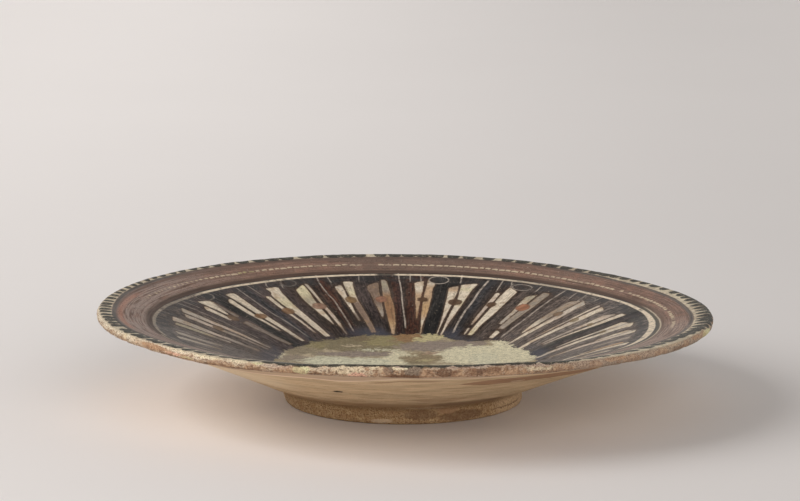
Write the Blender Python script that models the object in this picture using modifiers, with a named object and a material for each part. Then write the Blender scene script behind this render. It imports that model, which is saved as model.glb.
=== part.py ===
"""A wide shallow dish of thrown earthenware, slip painted and glazed.

One piece: a flat well, a wall that opens out in a long easy curve to a rounded lip, and a
low trimmed foot ring, hollow underneath. Metres, +Z up. The origin is on the surface that
the dish stands on, under the middle of the rim.
"""
import math

import bpy

# The rim and the lip
RIM_RADIUS = 0.1750        # middle of the rim to the outside of the lip
LIP_THICKNESS = 0.0052     # the lip is a full round of this height
RIM_SLOPE = 1.28           # how soon the inner wall flattens out towards the rim

# The well and the depth of the dish
WELL_RADIUS = 0.0756       # where the floor turns up into the wall
WELL_SAG = 0.0009          # the middle of the floor lies this much below its edge
WELL_CORNER = 0.0090       # length of the soft turn from floor to wall
DISH_DEPTH = 0.0323        # from the middle of the floor up to the top of the lip

# The body of the dish, upright through the clay
FLOOR_THICKNESS = 0.0107   # inside the foot ring
WALL_THICKNESS = 0.0108    # beside the foot; it thins out to the lip
THINNING = 1.5             # over 1, the wall stays thick longer on its way out

# The foot ring
FOOT_RADIUS = 0.0689
FOOT_HEIGHT = 0.0088       # the body lies nowhere lower than this outside the foot
FOOT_RING_WIDTH = 0.0130   # the flat that the dish stands on
FOOT_EDGE = 0.0008         # worn edge of the foot
HOLLOW_TAPER = 0.0015      # the hollow narrows by this much as it goes up
HOLLOW_RISE = 0.0019       # the hollow is cut this much higher than the foot
GROOVE_SHARE = 0.42        # a turned groove around the foot, at this share of its wall
GROOVE_WIDTH = 0.0011
GROOVE_DEPTH = 0.0005
FOOT_OFF_CENTRE = 0.0019   # the foot was trimmed this far towards -X of the rim's middle

# The warp from drying and firing: how far the rim lifts, by direction
RIM_LEAN = 0.0020          # higher at -X, lower at +X
RIM_SADDLE = 0.0006        # lower at both ends of X, higher at both ends of Y
RIM_TWIST = 0.0003         # the same, turned by an eighth of a turn

# How finely the surfaces are cut
SECTORS = 96
WALL_STEPS = 8
LIP_STEPS = 6
MERGE_DISTANCE = 0.00001
SHARP_ANGLE = math.radians(40)

HOLLOW_HEIGHT = FOOT_HEIGHT + HOLLOW_RISE
FLOOR_HEIGHT = HOLLOW_HEIGHT + FLOOR_THICKNESS
RIM_HEIGHT = FLOOR_HEIGHT + DISH_DEPTH
HOLLOW_RADIUS = FOOT_RADIUS - FOOT_RING_WIDTH
LIP_RADIUS = LIP_THICKNESS / 2
LIP_CENTRE = RIM_RADIUS - LIP_RADIUS


def floor_face(radius):
    """Height of the floor at a radius: a little lower in the middle."""
    return FLOOR_HEIGHT + WELL_SAG * (radius / WELL_RADIUS) ** 2


def wall_face(radius):
    """Height of the wall's upper face, also on its way down behind the floor's edge."""
    share = (radius - WELL_RADIUS) / (LIP_CENTRE - WELL_RADIUS)
    rise = 1 - max(1 - share, 0) ** RIM_SLOPE
    return floor_face(WELL_RADIUS) + (RIM_HEIGHT - floor_face(WELL_RADIUS)) * rise


def outer_face(radius):
    """Height of the underside at a radius: the clay's thickness below the wall."""
    share = max((radius - FOOT_RADIUS) / (LIP_CENTRE - FOOT_RADIUS), 0)
    thickness = WALL_THICKNESS - (WALL_THICKNESS - LIP_THICKNESS) * share ** THINNING
    return max(wall_face(radius) - thickness, FOOT_HEIGHT)


def middle_of_clay(radius):
    """Height half way through the clay at a radius."""
    if radius < HOLLOW_RADIUS:
        return (floor_face(radius) + HOLLOW_HEIGHT) / 2
    return (max(floor_face(radius), wall_face(radius)) + outer_face(radius)) / 2


def profile():
    """The turned outline: middle of the floor, wall, lip, underside, foot, hollow."""
    points = [(0, FLOOR_HEIGHT)]

    # The floor, and its soft turn into the wall
    corner_in = WELL_RADIUS - WELL_CORNER / 2
    corner_out = WELL_RADIUS + WELL_CORNER / 2
    points.append((corner_in / 2, floor_face(corner_in / 2)))
    points.append((corner_in, floor_face(corner_in)))
    chord_height = (floor_face(corner_in) + wall_face(corner_out)) / 2
    points.append((WELL_RADIUS, (chord_height + floor_face(WELL_RADIUS)) / 2))

    # The wall, out to the top of the lip
    for step in range(WALL_STEPS):
        radius = corner_out + (LIP_CENTRE - corner_out) * step / WALL_STEPS
        points.append((radius, wall_face(radius)))

    # The lip, over from its top to its underside
    for step in range(LIP_STEPS + 1):
        angle = math.pi / 2 - math.pi * step / LIP_STEPS
        points.append((LIP_CENTRE + LIP_RADIUS * math.cos(angle),
                       RIM_HEIGHT - LIP_RADIUS + LIP_RADIUS * math.sin(angle)))

    # The underside, in to the top of the foot
    for step in range(1, WALL_STEPS + 1):
        radius = LIP_CENTRE + (FOOT_RADIUS - LIP_CENTRE) * step / WALL_STEPS
        points.append((radius, outer_face(radius)))

    # The foot: its wall with the groove, its worn edge and the flat it stands on
    groove_height = GROOVE_SHARE * outer_face(FOOT_RADIUS)
    points.append((FOOT_RADIUS, groove_height + GROOVE_WIDTH / 2))
    points.append((FOOT_RADIUS - GROOVE_DEPTH, groove_height))
    points.append((FOOT_RADIUS, groove_height - GROOVE_WIDTH / 2))
    points.append((FOOT_RADIUS, FOOT_EDGE))
    points.append((FOOT_RADIUS - FOOT_EDGE, 0))
    points.append((HOLLOW_RADIUS, 0))

    # The hollow inside the foot ring
    points.append((HOLLOW_RADIUS - HOLLOW_TAPER, HOLLOW_HEIGHT))
    points.append((0, HOLLOW_HEIGHT))
    return points


def turned(name, points, collection):
    """A closed solid from an outline turned once around Z."""
    mesh = bpy.data.meshes.new(name + "_outline")
    edges = [(i, i + 1) for i in range(len(points) - 1)]
    mesh.from_pydata([(x, 0, z) for x, z in points], edges, [])
    outline = bpy.data.objects.new(name + "_outline", mesh)
    collection.objects.link(outline)

    screw = outline.modifiers.new("Turn", "SCREW")
    screw.axis = "Z"
    screw.steps = SECTORS
    screw.render_steps = SECTORS
    screw.use_merge_vertices = True
    screw.merge_threshold = MERGE_DISTANCE

    bpy.context.view_layer.update()
    evaluated = outline.evaluated_get(bpy.context.evaluated_depsgraph_get())
    solid_mesh = bpy.data.meshes.new_from_object(evaluated)
    solid_mesh.name = name
    bpy.data.objects.remove(outline)

    solid = bpy.data.objects.new(name, solid_mesh)
    collection.objects.link(solid)
    return solid


def warp(solid):
    """Lean the rim and shift the foot, both fading out between the foot and the lip."""
    for vertex in solid.data.vertices:
        x, y, z = vertex.co
        radius = math.hypot(x, y)
        angle = math.atan2(y, x)
        share = (radius - FOOT_RADIUS) / (RIM_RADIUS - FOOT_RADIUS)
        share = min(max(share, 0), 1)
        lift = (-RIM_LEAN * math.cos(angle) - RIM_SADDLE * math.cos(2 * angle)
                - RIM_TWIST * math.sin(2 * angle))
        if z < middle_of_clay(radius):
            vertex.co.x = x - FOOT_OFF_CENTRE * (1 - share)
        vertex.co.z = z + lift * share ** RIM_SLOPE


def earthenware():
    """Buff earthenware under a clear glaze, over cream and dark brown slips."""
    material = bpy.data.materials.new("glazed_earthenware")
    material.use_nodes = True
    shader = material.node_tree.nodes["Principled BSDF"]
    shader.inputs["Base Color"].default_value = (0.30, 0.21, 0.14, 1)
    shader.inputs["Roughness"].default_value = 0.45
    shader.inputs["Metallic"].default_value = 0
    return material


for leftover in list(bpy.data.objects):
    bpy.data.objects.remove(leftover)

dish_collection = bpy.data.collections.new("dish")
bpy.context.scene.collection.children.link(dish_collection)

plate = turned("plate", profile(), dish_collection)
warp(plate)
plate.data.materials.append(earthenware())
plate.data.shade_smooth()
plate.data.set_sharp_from_angle(angle=SHARP_ANGLE)
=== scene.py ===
import math

import bpy
import numpy as np
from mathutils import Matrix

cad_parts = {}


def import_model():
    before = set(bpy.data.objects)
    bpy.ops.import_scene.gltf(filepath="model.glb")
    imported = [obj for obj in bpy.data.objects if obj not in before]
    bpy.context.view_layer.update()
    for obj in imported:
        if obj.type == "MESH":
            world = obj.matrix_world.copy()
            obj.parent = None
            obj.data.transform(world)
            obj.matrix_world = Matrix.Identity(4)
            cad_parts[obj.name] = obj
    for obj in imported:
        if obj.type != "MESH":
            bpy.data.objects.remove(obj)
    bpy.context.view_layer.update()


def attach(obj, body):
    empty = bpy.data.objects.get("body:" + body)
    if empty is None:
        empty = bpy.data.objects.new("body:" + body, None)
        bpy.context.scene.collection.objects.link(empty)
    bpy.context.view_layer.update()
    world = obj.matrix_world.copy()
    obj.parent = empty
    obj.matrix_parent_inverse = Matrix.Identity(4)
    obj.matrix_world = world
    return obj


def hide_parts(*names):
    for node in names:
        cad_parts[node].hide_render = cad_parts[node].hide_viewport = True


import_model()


# The dish: coarse buff earthenware, thrown on a wheel and turned to a low foot ring when
# leather-hard. It leans and sags a little from drying and firing, and its lip is chipped.

RIM_RADIUS = 0.1750        # middle of the rim to the outside of the lip
RIM_HEIGHT = 0.0537
LIP_RADIUS = 0.0026        # the lip is a full round
LIP_CENTRE = RIM_RADIUS - LIP_RADIUS
LIP_STEPS = 12
RIM_SLOPE = 1.28           # how soon the wall flattens out towards the rim

FLOOR_HEIGHT = 0.0214
FLOOR_RINGS = (0.010, 0.022, 0.034, 0.045, 0.054, 0.061, 0.067)
WELL_RADIUS = 0.0756       # where the floor turns up into the wall
WELL_SAG = 0.0009
WELL_CORNER = 0.0090       # length of the soft turn from floor to wall

WALL_THICKNESS = 0.0108    # beside the foot; it thins out to the lip
WALL_STEPS = 42
THINNING = 1.5             # over 1, the wall stays thick longer on its way out
UNDERSIDE_SHARES = (0.02, 0.05, 0.09, 0.14, 0.21, 0.3, 0.4, 0.5, 0.6, 0.7, 0.8, 0.88, 0.94, 1.0)

FOOT_RADIUS = 0.0689
FOOT_HEIGHT = 0.0088
FOOT_EDGE = 0.0017         # worn edge of the foot
FOOT_RING_WIDTH = 0.0130   # the flat that the dish stands on
FOOT_FILLET = 0.0018
FOOT_OFF_CENTRE = 0.0019   # the foot was turned this far towards -X of the rim's middle
FOOT_TAPER = 0.0013
FOOT_LEAN = 0.0012
GROOVE_HEIGHT = 0.0040
GROOVE_WIDTH = 0.0014
GROOVE_DEPTH = 0.0006
HOLLOW_RADIUS = FOOT_RADIUS - FOOT_RING_WIDTH
HOLLOW_TAPER = 0.0015
HOLLOW_HEIGHT = 0.0107
HOLLOW_RINGS = (0.046, 0.038, 0.030, 0.022, 0.014, 0.008)
BUTTON_RADIUS = 0.004      # what the turning tool leaves in the middle of the hollow
BUTTON_DEPTH = 0.0010

RIM_LEAN = 0.0020          # higher at -X, lower at +X
RIM_SADDLE = 0.0006        # lower at both ends of X, higher at both ends of Y
RIM_TWIST = 0.0003         # the same, turned by an eighth of a turn
LIP_SWELL = 0.0015         # the front of the lip is thicker by this

AROUND = 960               # points around the dish


def floor_face(radius):
    """Height of the well's floor, a little lower in the middle."""
    return FLOOR_HEIGHT + WELL_SAG * (radius / WELL_RADIUS) ** 2


def wall_face(radius):
    """Height of the wall's upper face."""
    share = (radius - WELL_RADIUS) / (LIP_CENTRE - WELL_RADIUS)
    rise = 1 - np.maximum(1 - share, 0) ** RIM_SLOPE
    return floor_face(WELL_RADIUS) + (RIM_HEIGHT - floor_face(WELL_RADIUS)) * rise


def outer_face(radius):
    """Height of the underside of the wall."""
    share = np.maximum((radius - FOOT_RADIUS) / (LIP_CENTRE - FOOT_RADIUS), 0)
    thickness = WALL_THICKNESS - (WALL_THICKNESS - 2 * LIP_RADIUS) * share ** THINNING
    return np.maximum(wall_face(radius) - thickness, FOOT_HEIGHT)


def turned_outline():
    """The outline from the middle of the floor over the lip to the middle of the hollow.

    Gives (radius, height) points and the index of the outermost one.
    """
    points = [(0.0, FLOOR_HEIGHT)]
    corner_in = WELL_RADIUS - WELL_CORNER / 2
    corner_out = WELL_RADIUS + WELL_CORNER / 2
    for radius in FLOOR_RINGS:
        points.append((radius, floor_face(radius)))

    # The soft turn from the floor into the wall
    for step in range(6):
        t = step / 5
        low = (1 - t) ** 2
        middle = 2 * t * (1 - t)
        high = t ** 2
        points.append((low * corner_in + middle * WELL_RADIUS + high * corner_out,
                       low * floor_face(corner_in) + middle * floor_face(WELL_RADIUS)
                       + high * wall_face(corner_out)))

    # The wall
    for step in range(1, WALL_STEPS):
        radius = corner_out + (LIP_CENTRE - corner_out) * step / WALL_STEPS
        points.append((radius, wall_face(radius)))

    # The lip
    for step in range(LIP_STEPS + 1):
        angle = math.pi / 2 - math.pi * step / LIP_STEPS
        points.append((LIP_CENTRE + LIP_RADIUS * math.cos(angle),
                       RIM_HEIGHT - LIP_RADIUS + LIP_RADIUS * math.sin(angle)))
        if step == LIP_STEPS // 2:
            outermost = len(points) - 1

    # The underside, in to the fillet above the foot
    fillet_out = FOOT_RADIUS + FOOT_FILLET
    for share in UNDERSIDE_SHARES:
        radius = LIP_CENTRE + (fillet_out - LIP_CENTRE) * share
        points.append((radius, outer_face(radius)))

    # The foot: fillet, groove, worn edge and the flat that it stands on
    fillet_low = outer_face(FOOT_RADIUS) - FOOT_FILLET
    points.append((FOOT_RADIUS + 0.30 * FOOT_FILLET,
                   outer_face(FOOT_RADIUS) - 0.30 * FOOT_FILLET))
    points.append((FOOT_RADIUS, fillet_low))
    points.append((FOOT_RADIUS, (fillet_low + GROOVE_HEIGHT + GROOVE_WIDTH / 2) / 2))
    points.append((FOOT_RADIUS, GROOVE_HEIGHT + GROOVE_WIDTH / 2))
    points.append((FOOT_RADIUS - GROOVE_DEPTH, GROOVE_HEIGHT))
    points.append((FOOT_RADIUS, GROOVE_HEIGHT - GROOVE_WIDTH / 2))
    points.append((FOOT_RADIUS, (GROOVE_HEIGHT - GROOVE_WIDTH / 2 + FOOT_EDGE) / 2))
    points.append((FOOT_RADIUS, FOOT_EDGE))
    points.append((FOOT_RADIUS - 0.3 * FOOT_EDGE, 0.3 * FOOT_EDGE))
    points.append((FOOT_RADIUS - FOOT_EDGE, 0.0))
    points.append((FOOT_RADIUS - FOOT_RING_WIDTH / 2, 0.0))
    points.append((HOLLOW_RADIUS + 0.0006, 0.0))

    # The hollow, with the small button that the turning tool leaves in its middle
    points.append((HOLLOW_RADIUS, 0.0006))
    points.append((HOLLOW_RADIUS - 0.6 * HOLLOW_TAPER, HOLLOW_HEIGHT * 0.6))
    points.append((HOLLOW_RADIUS - HOLLOW_TAPER, HOLLOW_HEIGHT - 0.0012))
    points.append((HOLLOW_RADIUS - HOLLOW_TAPER - 0.0015, HOLLOW_HEIGHT))
    for radius in HOLLOW_RINGS:
        points.append((radius, HOLLOW_HEIGHT))
    points.append((BUTTON_RADIUS, HOLLOW_HEIGHT - 0.6 * BUTTON_DEPTH))
    points.append((0.0, HOLLOW_HEIGHT - BUTTON_DEPTH))
    return np.array(points), outermost


def cloud(points, size, seed):
    """Smooth noise from -1 to 1 at points of an (..., 3) array, with lumps of a given size."""
    place = points / size + 100
    cell = np.floor(place).astype(np.int64)
    part = place - cell
    part = part * part * (3 - 2 * part)
    total = np.zeros(points.shape[:-1])
    for corner in range(8):
        step = np.array([corner & 1, corner >> 1 & 1, corner >> 2 & 1])
        key = (cell + step) @ np.array([73856093, 19349663, 83492791]) + seed * 2654435761
        key = (key ^ (key >> 13)) & 0x7fffffff
        key = (key * (key * key % 1000003 * 15731 + 789221) + 1376312589) & 0x7fffffff
        weight = np.prod(np.where(step, part, 1 - part), axis=-1)
        total += weight * (key / 0x3fffffff - 1)
    return total


def smooth(low, high, value):
    """0 below low, 1 above high, and a soft step between them."""
    share = np.clip((value - low) / (high - low), 0, 1)
    return share * share * (3 - 2 * share)


outline, outermost = turned_outline()
rings = len(outline)
outline_step = np.hypot(*np.diff(outline, axis=0).T)
travelled = np.concatenate([[0], np.cumsum(outline_step)])
from_lip = travelled - travelled[outermost]

# One row of points for each ring, one column for each direction around the dish
azimuth = np.arange(AROUND) / AROUND * 2 * math.pi
ring_radius = outline[:, 0][:, None]
spoke = np.stack([np.cos(azimuth), np.sin(azimuth)], axis=-1)
clay = np.zeros((rings, AROUND, 3))
clay[..., :2] = ring_radius[..., None] * spoke[None]
clay[..., 2] = outline[:, 1][:, None]

# The faces' outward direction along the outline, for the fine unevenness of the clay
tangent = np.gradient(outline, axis=0)
tangent /= np.maximum(np.linalg.norm(tangent, axis=1, keepdims=True), 1e-9)
outward = np.zeros_like(clay)
outward[..., :2] = -tangent[:, 1][:, None, None] * spoke[None]
outward[..., 2] = tangent[:, 0][:, None]

along = np.broadcast_to(from_lip[:, None], (rings, AROUND))
upper = along < 0
mm = 0.001
lip = 1 - smooth(4 * mm, 11 * mm, np.abs(along))
underside = smooth(4 * mm, 12 * mm, along) * (1 - smooth(104 * mm, 111 * mm, along))
inside = smooth(3 * mm, 12 * mm, -along)

# The lip is chipped, most at the front and the left. Each chip: azimuth and half width in
# degrees, depth in millimetres.
LIP_CHIPS = (
    (-151, 1.6, 0.5), (-144, 3.2, 0.5), (-137, 2.2, 0.35), (-131, 1.8, 0.5), (-124, 2.6, 0.35),
    (-117, 1.5, 0.4), (-110, 3.4, 0.3), (-94, 1.6, 0.5), (-86.5, 1.3, 0.5), (-80, 2.6, 0.45),
    (-73, 4.0, 0.45), (-62, 2.4, 0.3), (-55, 2.0, 0.35), (-47, 2.8, 0.45), (-38, 2.2, 0.4),
    (-29, 1.8, 0.5), (-20, 2.4, 0.35), (-9, 1.4, 0.4), (12, 1.1, 0.4), (39, 0.9, 0.3),
    (97.4, 0.8, 0.5), (143, 0.9, 0.3), (171, 1.3, 0.4), (187, 1.2, 0.3), (203, 1.2, 0.35),
)
degrees = np.degrees(azimuth)
chipped = np.zeros((rings, AROUND))
chip_depth = np.zeros((rings, AROUND))
for chip_azimuth, half_width, depth in LIP_CHIPS:
    sideways = (degrees - chip_azimuth + 180) % 360 - 180
    down = (along / mm - 0.8) / 3.2
    reach = np.sqrt((sideways / half_width)[None] ** 2 + down ** 2)
    reach = reach + 0.35 * cloud(clay, 2.4 * mm, 5)
    cover = 1 - smooth(0.75, 1.15, reach)
    chipped = np.maximum(chipped, cover)
    chip_depth = np.maximum(chip_depth, cover * 0.7 * depth * mm)

unevenness = 0.13 * mm * lip * cloud(clay, 9 * mm, 1)
unevenness += 0.10 * mm * lip * cloud(clay, 3 * mm, 2)
unevenness += 0.25 * mm * inside * cloud(clay, 30 * mm, 3)
throwing = np.sin(along / (4.6 * mm) + 1.2 * cloud(clay, 40 * mm, 4))
unevenness += 0.05 * mm * inside * throwing * (ring_radius > WELL_RADIUS)
turning = np.sin(along / (1.9 * mm) + 2.0 * cloud(clay, 60 * mm, 6))
unevenness += 0.09 * mm * underside * turning + 0.25 * mm * underside * cloud(clay, 25 * mm, 7)
foot = smooth(109 * mm, 114 * mm, along) * (clay[..., 2] > 0.0002)
unevenness += 0.12 * mm * foot * cloud(clay, 4 * mm, 8)
clay += outward * (unevenness - chip_depth)[..., None]

# The warp: the rim leans, and the foot was turned a little off the rim's middle
warp_share = np.clip((ring_radius - FOOT_RADIUS) / (RIM_RADIUS - FOOT_RADIUS), 0, 1)
lift = (-RIM_LEAN * np.cos(azimuth) - RIM_SADDLE * np.cos(2 * azimuth)
        - RIM_TWIST * np.sin(2 * azimuth))
# Azimuth in degrees, and height in millimetres up from the even lean
RIM_DRIFT = (
    (-180, 0), (-158, 0.2), (-145, 0.45), (-136, 0.1), (-124, -1.0), (-112, -0.4), (-104, 0),
    (10, 0), (25, -1.0), (38, -1.1), (50, -0.9), (65, 0), (180, 0),
)
wrapped = (degrees + 180) % 360 - 180
drift = np.interp(wrapped, [entry[0] for entry in RIM_DRIFT], [entry[1] for entry in RIM_DRIFT])
drift = sum(np.roll(drift, step) for step in range(-10, 11)) / 21
clay[..., 2] += lift[None] * warp_share ** RIM_SLOPE + drift[None] * mm * warp_share ** 4

# At the front the lip is thicker. The foot narrows and leans a little on its way down.
swell = smooth(-108, -98, wrapped) * (1 - smooth(-72, -60, wrapped))
swell = swell[None] * (1 - smooth(-1 * mm, 2 * mm, along)) * smooth(-16 * mm, -4 * mm, along)
clay[..., 2] += LIP_SWELL * swell
foot_share = np.where(upper, 0, np.clip(1 - clay[..., 2] / FOOT_HEIGHT, 0, 1))
clay[..., :2] -= FOOT_TAPER * (foot_share * (ring_radius > 0.064))[..., None] * spoke[None]
clay[..., 0] += FOOT_LEAN * foot_share
clay[..., 0] -= np.where(upper, 0, FOOT_OFF_CENTRE * (1 - warp_share))
clay[..., 2] = np.maximum(clay[..., 2], 0)

# Points, faces and the flat layout of both sides
corners = np.concatenate([clay[0, :1], clay[1:-1].reshape(-1, 3), clay[-1, :1]])
last = len(corners) - 1


def corner_index(ring, column):
    """The number of a point of the dish; the first and the last ring are one point each."""
    if ring == 0:
        return np.zeros_like(column)
    if ring == rings - 1:
        return np.full_like(column, last)
    return 1 + (ring - 1) * AROUND + column % AROUND


def flat_place(ring, column, top):
    """Where a point lies in the layout: the upper side is one disc, the underside another."""
    angle = column / AROUND * 2 * math.pi
    if top:
        reach = 0.355 * travelled[ring] / travelled[outermost]
        return np.stack([0.36 + reach * np.cos(angle), 0.36 + reach * np.sin(angle)], axis=-1)
    reach = 0.215 * (travelled[-1] - travelled[ring]) / (travelled[-1] - travelled[outermost])
    return np.stack([0.78 + reach * np.cos(angle), 0.78 - reach * np.sin(angle)], axis=-1)


columns = np.arange(AROUND)
faces = []
layout = []
for ring in range(rings - 1):
    top = ring < outermost
    ring_corners = [(ring, columns), (ring + 1, columns), (ring + 1, columns + 1),
                    (ring, columns + 1)]
    if ring == 0:
        ring_corners = ring_corners[:3]
    if ring == rings - 2:
        ring_corners = [ring_corners[0], ring_corners[1], ring_corners[3]]
    faces.append(np.stack([corner_index(r, c) for r, c in ring_corners], axis=-1))
    layout.append(np.stack([flat_place(r, c, top) for r, c in ring_corners], axis=1))

plate_mesh = bpy.data.meshes.new("plate")
plate_mesh.from_pydata(corners.tolist(), [], [f for block in faces for f in block.tolist()])
plate_mesh.shade_smooth()
uv_layer = plate_mesh.uv_layers.new(name="OFBake")
flat = np.concatenate([block.reshape(-1, 2) for block in layout])
uv_layer.data.foreach_set("uv", flat.ravel())
plate = bpy.data.objects.new("thrown_plate", plate_mesh)
bpy.context.scene.collection.objects.link(plate)
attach(plate, "root")
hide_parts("plate")


# The painting, done freehand: cream slip all over, brown-black slip brushed over the wall so
# that pairs of cream strips stay bare, brown spots on them, dabs along the rim, and lines
# scratched through the dark slip.

def slip(red, green, blue, cover=1.0):
    """A slip's own colour, from the tone that it shows in soft light, and how well it covers."""
    light = 0.90
    tones = np.array([red, green, blue]) / 255
    linear = np.where(tones <= 0.04045, tones / 12.92, ((tones + 0.055) / 1.055) ** 2.4)
    return np.append(linear / light, cover)


CREAM_TONES = {
    "cream": slip(202, 188, 168),
    "yellow": slip(196, 184, 152),
    "olive": slip(166, 155, 134, 0.94),
    "pink": slip(194, 176, 160, 0.94),
    "pale": slip(190, 176, 160, 0.94),
    "silver": slip(176, 165, 151, 0.92),
    "tan": slip(176, 148, 120),
    "ochre": slip(176, 144, 106),
    "rust": slip(140, 106, 78),
    "umber": slip(124, 104, 90),
    "grey": slip(146, 134, 120, 0.92),
    "faint": slip(172, 160, 148, 0.78),
    "ghost": slip(156, 144, 132, 0.50),
}

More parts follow.
